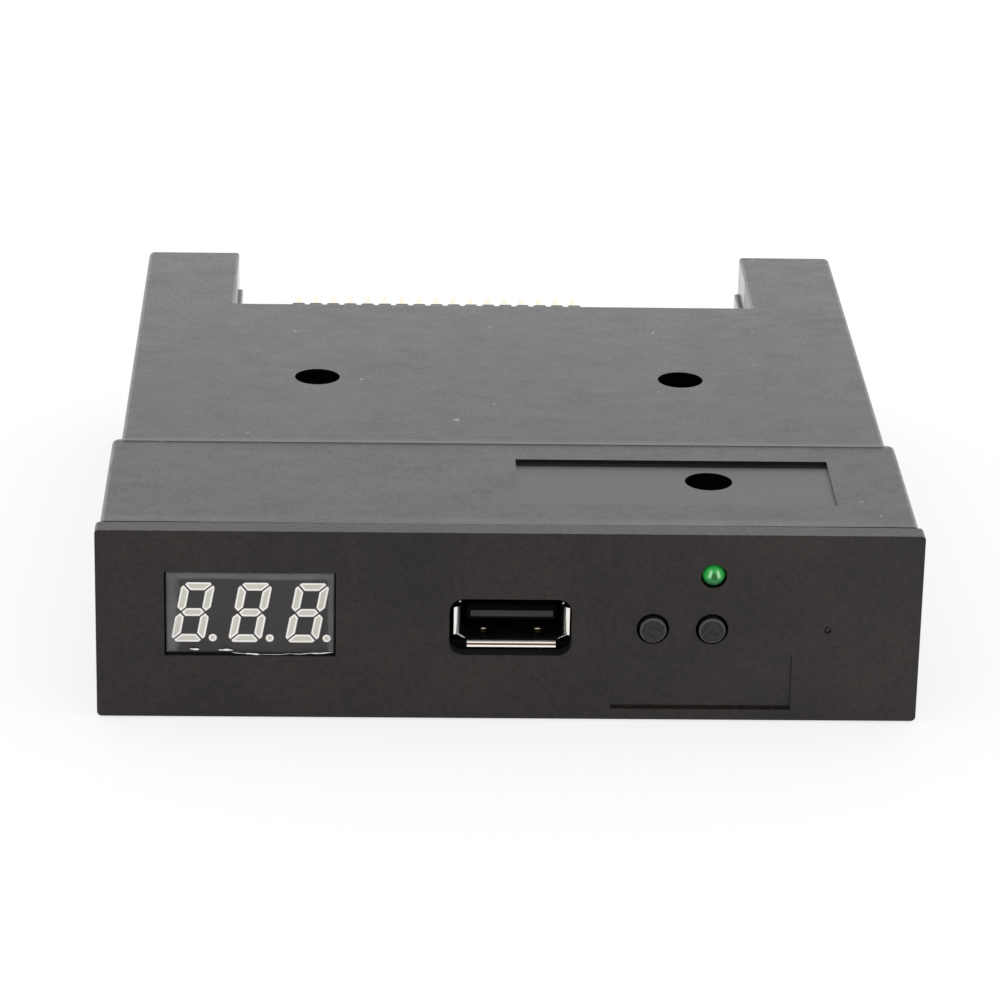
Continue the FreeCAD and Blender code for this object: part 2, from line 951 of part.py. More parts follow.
def main_board():
    """The board, cut away at the front left for the display, with its screw, pin and tab holes."""
    board = plan_prism(
        sharp(
            (-board_half, bay_y),
            (bay_x, bay_y),
            (bay_x, board_front),
            (board_half, board_front),
            (board_half, board_rear),
            (-board_half, board_rear),
        ),
        board_bottom,
        board_top,
    )
    drills = [(x, y, screw_clear_r) for x, y in screw_places]
    for centre, columns, rear in (
        (header_x, header_columns, header_rear),
        (jumper_x, jumper_columns, jumper_rear),
    ):
        for x in header_columns_x(centre, columns):
            for row in (0, 1):
                drills.append((x, header_leg_y(rear, row), pin_hole_r))
    drills += [(x, power_leg_y(), pin_hole_r) for x in power_pin_places()]
    drills += [(usb_x + x, usb_contact_leg_y(), pin_hole_r) for x in contact_places]
    drills += [(x, lamp_leg_y, lamp_lead) for x in lamp_lead_places()]
    holes = [rod_z(x, y, radius, board_bottom - 1, board_top + 1) for x, y, radius in drills]
    return board.cut(holes + usb_tabs(tab_slot_gap) + bracket_tabs(tab_slot_gap))


def usb_tabs(slot_gap=0.0):
    """The four tabs that hold the shell in the board. A gap gives the slots they go through."""
    side = usb_mouth_width / 2
    half = usb_tab_width / 2 + slot_gap
    low = pin_foot - slot_gap
    tabs = []
    for x0 in (usb_x - side - usb_sheet, usb_x + side):
        for y in usb_tab_y:
            x1 = x0 + usb_sheet
            tabs.append(box(x0 - slot_gap, x1 + slot_gap, y - half, y + half, low, usb_z))
    return tabs


def usb_flare(length):
    """One side's lip, curling out from the shell along X, about the socket's own centre line."""
    start = flare_front + (flare_r + usb_sheet) * math.sin(math.radians(flare_sweep))

    def at(radius, degrees):
        angle = math.radians(degrees)
        return FreeCAD.Vector(flare_r - radius * math.cos(angle), start - radius * math.sin(angle), 0)

    inner = [at(flare_r, a) for a in (0, flare_sweep / 2, flare_sweep)]
    outer = [at(flare_r + usb_sheet, a) for a in (0, flare_sweep / 2, flare_sweep)]
    wire = Part.Wire(
        [
            Part.Arc(*inner).toShape(),
            Part.makeLine(inner[2], outer[2]),
            Part.Arc(outer[2], outer[1], outer[0]).toShape(),
            Part.makeLine(outer[0], inner[0]),
        ]
    )
    lip = Part.Face(wire).extrude(FreeCAD.Vector(0, 0, length))
    lip.translate(FreeCAD.Vector(0, 0, -length / 2))
    return lip, start


def usb_shell():
    """The folded sheet shell: a tube with a lip curled out on each side of its mouth."""
    half_w = usb_mouth_width / 2
    half_h = usb_mouth_height / 2
    outer_w = half_w + usb_sheet
    outer_h = half_h + usb_sheet
    lips = []
    for turn, reach, length in (
        (0, outer_w, 2 * outer_h - 2 * flare_corner),
        (90, outer_h, 2 * outer_w - 2 * flare_corner),
        (180, outer_w, 2 * outer_h - 2 * flare_corner),
        (270, outer_h, 2 * outer_w - 2 * flare_corner),
    ):
        lip, start = usb_flare(length)
        lip.translate(FreeCAD.Vector(reach, 0, 0))
        lip.rotate(FreeCAD.Vector(0, 0, 0), FreeCAD.Vector(0, 1, 0), turn)
        lip.translate(FreeCAD.Vector(usb_x, 0, usb_z))
        lips.append(lip)
    outer_r = usb_corner_r + usb_sheet
    around = rectangle(usb_x - outer_w, usb_x + outer_w, usb_z - outer_h, usb_z + outer_h, outer_r)
    within = rectangle(usb_x - half_w, usb_x + half_w, usb_z - half_h, usb_z + half_h, usb_corner_r)
    tube = front_prism(around, start, usb_length)
    mouth = front_prism(within, 0, usb_length + 1)
    floor_gap = box(
        usb_x - half_w,
        usb_x + half_w,
        usb_length - tongue_base - floor_relief,
        usb_length + 1,
        usb_z - outer_h - 1,
        usb_z - half_h + usb_corner_r,
    )
    return join(tube.cut([mouth, floor_gap]), *lips, *[tab.cut(mouth) for tab in usb_tabs()])


def usb_tongue():
    """The moulded tongue and the base that fills the rear of the shell and stands on the board."""
    half = usb_mouth_width / 2 - tongue_fit
    top = usb_z + usb_mouth_height / 2 - tongue_fit
    low = tongue_low
    base_y = usb_length - tongue_base
    base = box(usb_x - half, usb_x + half, base_y, usb_length, board_top, top)
    base = round_edges(
        base,
        usb_corner_r,
        lambda e: e.BoundBox.ZMin > top - 1e-4 and e.BoundBox.YLength > 1,
    )
    blade = box(
        usb_x - tongue_half, usb_x + tongue_half, tongue_front, base_y + 1, low, low + tongue_thickness
    )
    blade = bevel_edges(blade, tongue_bevel, lambda e: e.BoundBox.YMax < tongue_front + 1e-4)
    return join(base, blade).cut(usb_contact_strips())


def usb_contact_leg_y():
    return usb_length - tongue_base / 2


def usb_contact_strips():
    """Four strips under the tongue, each turned down through the base into the board."""
    low = tongue_low
    leg = usb_contact_leg_y()
    h = contact_thickness / 2
    corners = sharp(
        (tongue_front + contact_start, low - h),
        (leg - h, low - h),
        (leg - h, pin_foot),
        (leg + h, pin_foot),
        (leg + h, low + h),
        (tongue_front + contact_start, low + h),
    )
    below = board_top + contact_shoulder
    strips = []
    for x in contact_places:
        strip = side_prism(corners, usb_x + x - contact_width / 2, usb_x + x + contact_width / 2)
        for side in (-1, 1):
            edge = usb_x + x + side * contact_leg / 2
            far = usb_x + x + side * contact_width
            strip = strip.cut(box(min(edge, far), max(edge, far), 0, usb_length, pin_foot - 1, below))
        strips.append(strip)
    return strips


def usb_springs():
    """Bowed springs on the mouth's floor and roof that grip a plug."""
    springs = []
    front = spring_crest_y - spring_front_run
    rear = spring_crest_y + spring_rear_run
    for side in (-1, 1):
        for turn in (-1, 1):
            face = turn * usb_mouth_height / 2
            bow = tongue_top_gap / 2 if turn > 0 else spring_bow
            inner = FreeCAD.Vector(0, spring_crest_y, usb_z + face - turn * bow)
            ends = [FreeCAD.Vector(0, y, usb_z + face) for y in (front, rear)]
            wire = Part.Wire([Part.Arc(ends[0], inner, ends[1]).toShape(), Part.makeLine(ends[1], ends[0])])
            spring = Part.Face(wire).extrude(FreeCAD.Vector(spring_width, 0, 0))
            spring.translate(FreeCAD.Vector(usb_x + side * spring_place - spring_width / 2, 0, 0))
            springs.append(spring)
    return group(springs)


def push_button(x):
    """A round cap whose flange stops behind the bezel's collar and whose stem rests on the plunger."""
    flange_y = bezel_plate + collar_depth + button_rest_gap
    cap = rod_y(x, button_z, button_r, -button_proud, flange_y + button_flange / 2)
    cap = bevel_edges(cap, button_bevel, lambda e: e.BoundBox.YMax < 1e-4 - button_proud)
    flange = rod_y(x, button_z, button_flange_r, flange_y, flange_y + button_flange)
    stem = rod_y(x, button_z, button_stem_r, flange_y, switch_front - plunger_proud)
    return join(cap, flange, stem)


def switch_body(x):
    half = switch_size / 2
    rear = switch_front + switch_depth
    body = box(x - half, x + half, switch_front, rear, button_z - half, button_z + half)
    seat = plunger_seat + button_travel + plunger_room
    return body.cut(rod_y(x, button_z, plunger_r + plunger_gap, switch_front - 1, switch_front + seat))


def switch_plunger(x):
    return rod_y(x, button_z, plunger_r, switch_front - plunger_proud, switch_front + plunger_seat)


def bracket_tabs(slot_gap=0.0):
    """The legs of both switch brackets, down through the board."""
    tabs = []
    for x in (left_button_x, right_button_x):
        for side in (-1, 1):
            inner = side * (switch_size / 2 + bracket_gap)
            outer = inner + side * bracket_sheet
            tabs.append(
                box(
                    x + min(inner, outer) - slot_gap,
                    x + max(inner, outer) + slot_gap,
                    switch_front - bracket_sheet - slot_gap,
                    switch_front + bracket_depth + slot_gap,
                    pin_foot - slot_gap,
                    button_z,
                )
            )
    return tabs


def switch_brackets():
    """The bent sheet that holds each switch upright."""
    tabs = bracket_tabs()
    brackets = []
    for i, x in enumerate((left_button_x, right_button_x)):
        half = switch_size / 2 + bracket_gap + bracket_sheet
        front = box(
            x - half,
            x + half,
            switch_front - bracket_sheet,
            switch_front,
            button_z - switch_size / 2,
            button_z + switch_size / 2,
        )
        hole = rod_y(x, button_z, plunger_r + 3 * plunger_gap, switch_front - 1, switch_front + 1)
        brackets.append(join(front.cut(hole), tabs[2 * i], tabs[2 * i + 1]))
    return group(brackets)


def turned(x, z, profile, crown=None):
    """A round piece along Y from its (radius, y) half-profile. A crown is a nose arc's mid point."""
    points = [FreeCAD.Vector(x + radius, y, z) for radius, y in profile]
    edges = [Part.makeLine(points[i], points[i + 1]) for i in range(len(points) - 1)]
    if crown:
        edges[0] = Part.Arc(points[0], FreeCAD.Vector(x + crown[0], crown[1], z), points[1]).toShape()
    edges.append(Part.makeLine(points[-1], points[0]))
    return Part.Face(Part.Wire(edges)).revolve(FreeCAD.Vector(x, 0, z), FreeCAD.Vector(0, 1, 0), 360)


def status_lamp():
    """A round-nosed lamp whose flange sits on the bezel's collar."""
    flange_y = bezel_plate + collar_depth
    centre = lamp_r - lamp_proud
    diagonal = lamp_r * math.sqrt(0.5)
    profile = [
        (0, -lamp_proud),
        (lamp_r, centre),
        (lamp_r, flange_y),
        (lamp_flange_r, flange_y),
        (lamp_flange_r, flange_y + lamp_flange),
        (0, flange_y + lamp_flange),
    ]
    return turned(lamp_x, lamp_z, profile, crown=(diagonal, centre - diagonal))


def lamp_lead_places():
    return (lamp_x - lamp_lead_gap / 2, lamp_x + lamp_lead_gap / 2)


def lamp_leads():
    """Two wires that run back over the switch and turn down into the board."""
    h = lamp_lead / 2
    start = bezel_plate + collar_depth + lamp_flange
    corners = [
        (start, lamp_z - h, 0),
        (lamp_leg_y - h, lamp_z - h, lamp_lead_bend),
        (lamp_leg_y - h, pin_foot, 0),
        (lamp_leg_y + h, pin_foot, 0),
        (lamp_leg_y + h, lamp_z + h, lamp_lead_bend + lamp_lead),
        (start, lamp_z + h, 0),
    ]
    return group(side_prism(corners, x - h, x + h) for x in lamp_lead_places())


def digit_segments(x):
    """The seven bars of one leaning figure and its point, as outlines in the face's plane."""
    h = (digit_height - segment_width) / 2
    w = (digit_width - segment_width) / 2
    t = segment_width / 2
    g = segment_gap / math.sqrt(2)
    lean = math.tan(math.radians(digit_slant))
    e = w - g
    bar = [(-e, 0), (t - e, t), (e - t, t), (e, 0), (e - t, -t), (t - e, -t)]
    top_bar = [
        (-e - t / 2, h + t / 2),
        (-e, h + t),
        (e, h + t),
        (e + t / 2, h + t / 2),
        (e - t, h - t),
        (t - e, h - t),
    ]
    post = [
        (w, g),
        (w + t, g + t),
        (w + t, h - g),
        (w + t / 2, h - g + t / 2),
        (w - t, h - g - t),
        (w - t, g + t),
    ]
    shapes = [bar, top_bar, [(u, -v) for u, v in top_bar]]
    shapes += [[(su * u, sv * v) for u, v in post] for su in (-1, 1) for sv in (-1, 1)]
    return [[(x + u + v * lean, window_z + v) for u, v in shape] for shape in shapes]


def digit_centres():
    return [window_x + (i - (digit_count - 1) / 2) * digit_pitch for i in range(digit_count)]


def display_segments():
    """The translucent bars and points set flush in the module's face."""
    solids = []
    back = module_recess + segment_depth
    for x in digit_centres():
        for shape in digit_segments(x):
            solids.append(front_prism(sharp(*shape), module_recess, back))
        solids.append(rod_y(x + dot_x, window_z + dot_z, dot_r, module_recess, back))
    return solids


def display_module():
    half_w = window_width / 2 - module_gap
    half_h = window_height / 2 - module_gap
    body = box(
        window_x - half_w, window_x + half_w, module_recess, module_back, window_z - half_h, window_z + half_h
    )
    return body.cut(display_segments())


def display_film():
    """The clear film over the display, with its lower edge lifting in waves."""
    half_w = window_width / 2 - module_gap - film_margin
    half_h = window_height / 2 - module_gap - film_margin
    y = module_recess - film_thickness
    step = 2 * half_w / (len(film_wave) - 1)
    low = [
        FreeCAD.Vector(window_x - half_w + i * step, y, window_z - half_h + lift)
        for i, lift in enumerate(film_wave)
    ]
    curve = Part.BSplineCurve()
    curve.interpolate(low)
    top_right = FreeCAD.Vector(window_x + half_w, y, window_z + half_h)
    top_left = FreeCAD.Vector(window_x - half_w, y, window_z + half_h)
    wire = Part.Wire(
        [
            curve.toShape(),
            Part.makeLine(low[-1], top_right),
            Part.makeLine(top_right, top_left),
            Part.makeLine(top_left, low[0]),
        ]
    )
    return Part.Face(wire).extrude(FreeCAD.Vector(0, film_thickness, 0))


def display_pin_places():
    rows = (window_z - display_pin_rows / 2, window_z + display_pin_rows / 2)
    return [(x, z) for z in rows for x in header_columns_x(window_x, display_pins_a_row)]


def display_pins():
    h = display_pin / 2
    end = display_board_back + display_pin_proud
    return group(box(x - h, x + h, module_back, end, z - h, z + h) for x, z in display_pin_places())


def display_board():
    board = box(display_left, display_right, module_back, display_board_back, display_bottom, display_top)
    drills = [(x, z, peg_r + peg_gap) for x, z in peg_places()]
    drills += [(x, z, display_pin / 2 + display_pin_gap) for x, z in display_pin_places()]
    return board.cut([rod_y(x, z, r, module_back - 1, display_board_back + 1) for x, z, r in drills])


def chip(length, width, height, per_side, spacing, lead_width, four_sides):
    """A flat chip about its own centre, standing on z = 0, and its gull-wing leads."""
    body = box(-length / 2, length / 2, -width / 2, width / 2, chip_stand, chip_stand + height)
    body = bevel_edges(body, chip_bevel, lambda e: level_at(e, chip_stand + height))
    leads = []
    sides = (0, 90, 180, 270) if four_sides else (0, 180)
    mid = chip_stand + height / 2
    reach = width / 2
    foot = reach + lead_reach
    knee = reach + lead_reach * 0.4
    profile = sharp(
        (reach, mid),
        (knee, mid),
        (knee, 0),
        (foot, 0),
        (foot, lead_sheet),
        (knee + lead_sheet, lead_sheet),
        (knee + lead_sheet, mid + lead_sheet),
        (reach, mid + lead_sheet),
    )
    for turn in sides:
        for i in range(per_side):
            x = (i - (per_side - 1) / 2) * spacing
            lead = side_prism(profile, x - lead_width / 2, x + lead_width / 2)
            lead.rotate(FreeCAD.Vector(0, 0, 0), FreeCAD.Vector(0, 0, 1), turn)
            leads.append(lead)
    return body, leads


def lay(shape, x, y):
    """A flat part put down on the main board."""
    placed = shape.copy()
    placed.translate(FreeCAD.Vector(x, y, board_top))
    return placed


def stand(shape, x, z):
    """A flat part put on the rear face of the upright display board."""
    placed = shape.copy()
    placed.rotate(FreeCAD.Vector(0, 0, 0), FreeCAD.Vector(1, 0, 0), -90)
    placed.translate(FreeCAD.Vector(x, display_board_back, z))
    return placed


def controller():
    body, leads = chip(
        chip_size, chip_size, chip_height, chip_leads_a_side, chip_lead_pitch, chip_lead_width, True
    )
    x, y = usb_x, rear_screw_y - chip_size
    return lay(body, x, y), group(lay(lead, x, y) for lead in leads)


def display_driver():
    body, leads = chip(
        driver_length,
        driver_width,
        driver_height,
        driver_leads_a_side,
        driver_lead_pitch,
        driver_lead_width,
        False,
    )
    return stand(body, window_x, window_z), group(stand(lead, window_x, window_z) for lead in leads)


def regulator_foot(x, half, side):
    """A flat foot on the board, beyond the body's edge, with its riser into the body."""
    edge = regulator_width / 2
    foot = box(x - half, x + half, edge, edge + regulator_reach, 0, regulator_sheet)
    riser = box(x - half, x + half, edge, edge + regulator_sheet, 0, regulator_exit)
    piece = join(foot, riser)
    if side < 0:
        piece.rotate(FreeCAD.Vector(0, 0, 0), FreeCAD.Vector(0, 0, 1), 180)
    return piece


def regulator():
    """A power transistor package, with its wide tab on one side and three legs on the other."""
    half = regulator_length / 2
    depth = regulator_width / 2
    body = box(-half, half, -depth, depth, chip_stand, chip_stand + regulator_height)
    body = bevel_edges(body, chip_bevel, lambda e: level_at(e, chip_stand + regulator_height))
    feet = [regulator_foot(0, regulator_tab / 2, 1)]
    for x in (-regulator_leg_pitch, 0, regulator_leg_pitch):
        feet.append(regulator_foot(x, regulator_leg / 2, -1))
    x, y = regulator_x, notch_start - regulator_to_notch
    return lay(body, x, y), group(lay(piece, x, y) for piece in feet)


def oval(length, width):
    """A long oval about the origin."""
    return rectangle(-length / 2, length / 2, -width / 2, width / 2, width / 2 - 0.05)


def crystal():
    """The controller's can, a long oval on a thin flange."""
    can = plan_prism(oval(crystal_length, crystal_width), crystal_flange_height, crystal_height)
    can = round_edges(can, crystal_edge_r, lambda e: level_at(e, crystal_height))
    rim = 2 * crystal_flange
    flange = plan_prism(oval(crystal_length + rim, crystal_width + rim), 0, crystal_flange_height)
    return lay(join(can, flange), usb_x, rear_screw_y - 2 * chip_size - small_pitch)


def capacitor_places():
    return [(x, notch_start - capacitors_to_notch) for x in capacitors_x]


def capacitor_cans():
    can = rod_z(0, 0, capacitor_r, capacitor_base_height, capacitor_height)
    can = bevel_edges(can, capacitor_bevel, lambda e: level_at(e, capacitor_height))
    return group(lay(can, x, y) for x, y in capacitor_places())


def capacitor_bases():
    half = capacitor_base / 2
    cut = capacitor_base_corner
    corners = sharp(
        (-half, -half),
        (half, -half),
        (half, half - cut),
        (half - cut, half),
        (cut - half, half),
        (-half, half - cut),
    )
    base = plan_prism(corners, 0, capacitor_base_height)
    return group(lay(base, x, y) for x, y in capacitor_places())


def chip_parts():
    """A row of small resistors and capacitors behind the controller, and three at each side of it."""
    part = box(-small_length / 2, small_length / 2, -small_width / 2, small_width / 2, 0, small_height)
    middle = (small_row - 1) / 2
    places = [(usb_x + (i - middle) * small_pitch, rear_screw_y + small_gap) for i in range(small_row)]
    for side in (-1, 1):
        x = usb_x + side * (chip_size + small_pitch)
        places += [(x, rear_screw_y - chip_size + small_side_pitch * i) for i in (-1, 0, 1)]
    return group(lay(part, x, y) for x, y in places)


def lead_ways_x():
    return [lead_x + (i - (lead_ways - 1) / 2) * lead_pitch for i in range(lead_ways)]


def lead_ends():
    """The lower socket's height, the lead's start and end, and the angle of its two bends."""
    low_z = board_top + socket_height / 2 + lead_lift
    drop = window_z - low_z
    bend = math.copysign(math.acos(1 - abs(drop) / (2 * lead_bend_r)), drop)
    start = display_board_back + socket_depth + plug_proud
    end = start + 2 * lead_straight + 2 * lead_bend_r * math.sin(abs(bend))
    return low_z, start, end, bend


def display_lead():
    """Four wires side by side: out to the rear, down in an easy double bend, and level again."""
    low_z, start, end, bend = lead_ends()
    middle = ((start + end) / 2, (window_z + low_z) / 2)
    sag = math.copysign(lead_bend_r * (1 - math.cos(bend / 2)), bend)
    run = lead_bend_r * math.sin(abs(bend) / 2)
    route = (
        (start, window_z),
        (start + lead_straight, window_z),
        (start + lead_straight + run, window_z - sag),
        middle,
        (end - lead_straight - run, low_z + sag),
        (end - lead_straight, low_z),
        (end, low_z),
    )
    wires = []
    for x in lead_ways_x():
        p = [FreeCAD.Vector(x, y, z) for y, z in route]
        spine = Part.Wire(
            [
                Part.makeLine(p[0], p[1]),
                Part.Arc(p[1], p[2], p[3]).toShape(),
                Part.Arc(p[3], p[4], p[5]).toShape(),
                Part.makeLine(p[5], p[6]),
            ]
        )
        section = Part.Face(Part.Wire(Part.makeCircle(wire_r, p[0], FreeCAD.Vector(0, 1, 0))))
        wires.append(spine.makePipe(section))
    return group(wires)


def lead_socket(z, y0, y1, mouth):
    """A header's shroud from y0 to y1, open towards mouth, +1 for the rear and -1 for the front."""
    half_w = socket_width / 2
    half_h = socket_height / 2
    shroud = box(lead_x - half_w, lead_x + half_w, y0, y1, z - half_h, z + half_h)
    start, end = (y0 + socket_wall, y1 + 1) if mouth > 0 else (y0 - 1, y1 - socket_wall)
    side = half_w - socket_wall
    rise = half_h - socket_wall
    return shroud.cut(box(lead_x - side, lead_x + side, start, end, z - rise, z + rise))


def lead_plug(z, y0, y1):
    half_w = socket_width / 2 - socket_wall - plug_gap
    half_h = socket_height / 2 - socket_wall - plug_gap
    return box(lead_x - half_w, lead_x + half_w, y0, y1, z - half_h, z + half_h)


def front_socket():
    return lead_socket(window_z, display_board_back, display_board_back + socket_depth, 1)


def front_plug():
    y0 = display_board_back + socket_wall
    return lead_plug(window_z, y0, display_board_back + socket_depth + plug_proud)


def rear_socket():
    low_z, _, end, _ = lead_ends()
    front = end + plug_proud
    rear = front + socket_depth
    half = socket_width / 2
    foot = box(lead_x - half, lead_x + half, front, rear, board_top, low_z - socket_height / 2)
    return join(lead_socket(low_z, front, rear, -1), foot)


def rear_plug():
    low_z, _, end, _ = lead_ends()
    return lead_plug(low_z, end, end + plug_proud + socket_depth - socket_wall)


nodes = {
    "top_cover": top_cover(),
    "bottom_tray": bottom_tray(),
    "front_bezel": front_bezel(),
    "case_screws": case_screws(),
    "main_board": main_board(),
    "usb_shell": usb_shell(),
    "usb_tongue": usb_tongue(),
    "usb_contacts": group(usb_contact_strips()),
    "usb_springs": usb_springs(),
    "display_module": display_module(),
    "display_segments": group(display_segments()),
    "display_film": display_film(),
    "display_pins": display_pins(),
    "display_board": display_board(),
    "display_driver": display_driver()[0],
    "display_driver_leads": display_driver()[1],
    "front_lead_socket": front_socket(),
    "front_lead_plug": front_plug(),
    "display_lead": display_lead(),
    "rear_lead_plug": rear_plug(),
    "rear_lead_socket": rear_socket(),
    "status_lamp": status_lamp(),
    "lamp_leads": lamp_leads(),
    "button_left": push_button(left_button_x),
    "button_right": push_button(right_button_x),
    "switch_left": switch_body(left_button_x),
    "switch_right": switch_body(right_button_x),
    "plunger_left": switch_plunger(left_button_x),
    "plunger_right": switch_plunger(right_button_x),
    "switch_brackets": switch_brackets(),
    "header_block": header_block(header_x, header_columns, header_rear),
    "header_pins": header_pins(header_x, header_columns, header_rear, pin_free),
    "jumper_block": header_block(jumper_x, jumper_columns, jumper_rear),
    "jumper_pins": header_pins(jumper_x, jumper_columns, jumper_rear, pin_free),
    "jumper_cap": jumper_cap(),
    "power_socket": power_socket(),
    "power_pins": power_pins(),
    "controller_chip": controller()[0],
    "controller_leads": controller()[1],
    "crystal": crystal(),
    "regulator": regulator()[0],
    "regulator_legs": regulator()[1],
    "capacitor_cans": capacitor_cans(),
    "capacitor_bases": capacitor_bases(),
    "chip_parts": chip_parts(),
}

os.makedirs("parts", exist_ok=True)
for name, shape in nodes.items():
    placed = shape.copy()
    placed.translate(FreeCAD.Vector(0, -origin_y, 0))
    placed.exportStep(os.path.join("parts", name + ".step"))
    print(f"{name}: {len(shape.Solids)} solids, {shape.Volume:.1f} mm3, valid {shape.isValid()}")
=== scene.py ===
import json
import math

import bmesh
import bpy
from mathutils import Matrix, Vector


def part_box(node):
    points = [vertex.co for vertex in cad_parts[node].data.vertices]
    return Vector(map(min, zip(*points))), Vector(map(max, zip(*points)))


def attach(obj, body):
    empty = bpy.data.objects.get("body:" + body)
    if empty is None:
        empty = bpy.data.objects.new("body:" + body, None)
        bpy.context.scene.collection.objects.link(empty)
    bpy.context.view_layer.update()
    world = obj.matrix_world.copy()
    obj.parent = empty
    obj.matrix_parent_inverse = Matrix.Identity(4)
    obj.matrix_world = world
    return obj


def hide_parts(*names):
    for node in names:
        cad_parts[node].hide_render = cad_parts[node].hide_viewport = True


MM = 0.001

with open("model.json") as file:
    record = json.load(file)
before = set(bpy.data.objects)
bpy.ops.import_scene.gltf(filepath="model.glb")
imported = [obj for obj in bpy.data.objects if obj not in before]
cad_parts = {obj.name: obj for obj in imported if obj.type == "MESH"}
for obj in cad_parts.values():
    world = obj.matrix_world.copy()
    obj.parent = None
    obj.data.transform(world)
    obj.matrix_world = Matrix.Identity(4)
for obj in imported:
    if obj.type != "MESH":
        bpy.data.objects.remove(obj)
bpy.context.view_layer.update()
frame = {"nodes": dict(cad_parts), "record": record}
nodes = frame["nodes"]

# Camera, as worked out from the object's own edges in a square frame 1000 pixels wide
FRAME_PX = 1000
FOCAL_PX = 4330
SENSOR_MM = 36
AZIMUTH = math.radians(-2.00)
ELEVATION = math.radians(21.76)
ROLL = math.radians(1.22)
DISTANCE = 580.3 * MM
TARGET = Vector((0.255, -10.3, 9.25)) * MM

# Light: a white room, and one soft box behind the object that gives flat tops their sheen
ROOM_LIGHT = 1.0
BACK_BOX_PLACE = (0.0, 1.5, 0.25)
BACK_BOX_SIZE = (3.2, 0.4)
BACK_BOX_POWER = 6.4
FLOOR_SIZE = 8.0
FLOOR_GAP = 0.2 * MM
FLOOR_GLOW = 0.74
FLOOR_SHADED = 0.28
FLOOR_BOUNCE = 0.88


def add_camera():
    data = bpy.data.cameras.new("camera")
    data.sensor_width = SENSOR_MM
    data.lens = FOCAL_PX * SENSOR_MM / FRAME_PX
    data.clip_start = 0.01
    data.clip_end = 20
    camera = bpy.data.objects.new("camera", data)
    back = Vector(
        (
            math.sin(AZIMUTH) * math.cos(ELEVATION),
            -math.cos(AZIMUTH) * math.cos(ELEVATION),
            math.sin(ELEVATION),
        )
    )
    right = (-back).cross(Vector((0, 0, 1))).normalized()
    up = right.cross(-back)
    turned_right = right * math.cos(ROLL) + up * math.sin(ROLL)
    turned_up = up * math.cos(ROLL) - right * math.sin(ROLL)
    place = Matrix((turned_right, turned_up, back)).transposed().to_4x4()
    place.translation = TARGET + back * DISTANCE
    camera.matrix_world = place
    bpy.context.scene.collection.objects.link(camera)
    bpy.context.scene.camera = camera


# Node helpers. Every pattern lies in the object's own space, in metres.
EDGE = 0.06 * MM
GRAIN_HEIGHT = 0.03 * MM
METAL_WEAR = 0.25
METAL_TINT = 0.88


def new_material(name):
    material = bpy.data.materials.new(name)
    material.use_nodes = True
    tree = material.node_tree
    return material, tree, tree.nodes["Principled BSDF"]


def as_colour(value):
    if isinstance(value, (int, float)):
        return (value, value, value, 1)
    return (*value[:3], 1)


def feed(tree, source, socket):
    """Links a node's output to a socket, or sets a plain value on it."""
    if isinstance(source, bpy.types.NodeSocket):
        tree.links.new(source, socket)
    else:
        socket.default_value = source


def noise(tree, scale, detail=2.0, rough=0.5, seed=0.0, stretch=(1, 1, 1)):
    """Noise with a scale in waves per metre. A stretch below 1 draws it out along that axis."""
    coord = tree.nodes.new("ShaderNodeTexCoord")
    mapping = tree.nodes.new("ShaderNodeMapping")
    mapping.inputs["Scale"].default_value = stretch
    texture = tree.nodes.new("ShaderNodeTexNoise")
    texture.noise_dimensions = "4D"
    texture.inputs["W"].default_value = seed
    texture.inputs["Scale"].default_value = scale
    texture.inputs["Detail"].default_value = detail
    texture.inputs["Roughness"].default_value = rough
    tree.links.new(coord.outputs["Object"], mapping.inputs["Vector"])
    tree.links.new(mapping.outputs["Vector"], texture.inputs["Vector"])
    return texture.outputs["Fac"]


def ramp(tree, source, low, high, start=0.3, end=0.7):
    """A colour or grey that follows the source between two values."""
    node = tree.nodes.new("ShaderNodeValToRGB")
    node.color_ramp.elements[0].position = start
    node.color_ramp.elements[1].position = end
    node.color_ramp.elements[0].color = as_colour(low)
    node.color_ramp.elements[1].color = as_colour(high)
    tree.links.new(source, node.inputs["Fac"])
    return node.outputs["Color"]


def calc(tree, operation, a, b=0.0, c=0.0, clamp=False):
    node = tree.nodes.new("ShaderNodeMath")
    node.operation = operation
    node.use_clamp = clamp
    for value, socket in zip((a, b, c), node.inputs):
        feed(tree, value, socket)
    return node.outputs["Value"]


def axes(tree):
    """The three coordinates of the object's own space, in metres."""
    coord = tree.nodes.new("ShaderNodeTexCoord")
    split = tree.nodes.new("ShaderNodeSeparateXYZ")
    tree.links.new(coord.outputs["Object"], split.inputs["Vector"])
    return split.outputs["X"], split.outputs["Y"], split.outputs["Z"]


def step_up(tree, value, start, end):
    """A smooth step from 0 to 1 as the value goes from start to end."""
    node = tree.nodes.new("ShaderNodeMapRange")
    node.interpolation_type = "SMOOTHSTEP"
    feed(tree, value, node.inputs["Value"])
    node.inputs["From Min"].default_value = start
    node.inputs["From Max"].default_value = end
    return node.outputs["Result"]


def band(tree, value, low, high, soft):
    """A mask that is 1 where the value lies between low and high."""
    up = step_up(tree, value, low - soft, low + soft)
    down = step_up(tree, value, high + soft, high - soft)
    return calc(tree, "MULTIPLY", up, down)


def block(tree, low, high, soft):
    """A mask that is 1 inside a box of the object's own space. None leaves a side open."""
    mask = None
    for value, a, b in zip(axes(tree), low, high):
        if a is None and b is None:
            continue
        if a is None:
            part = step_up(tree, value, b + soft, b - soft)
        elif b is None:
            part = step_up(tree, value, a - soft, a + soft)
        else:
            part = band(tree, value, a, b, soft)
        mask = part if mask is None else calc(tree, "MULTIPLY", mask, part)
    return mask


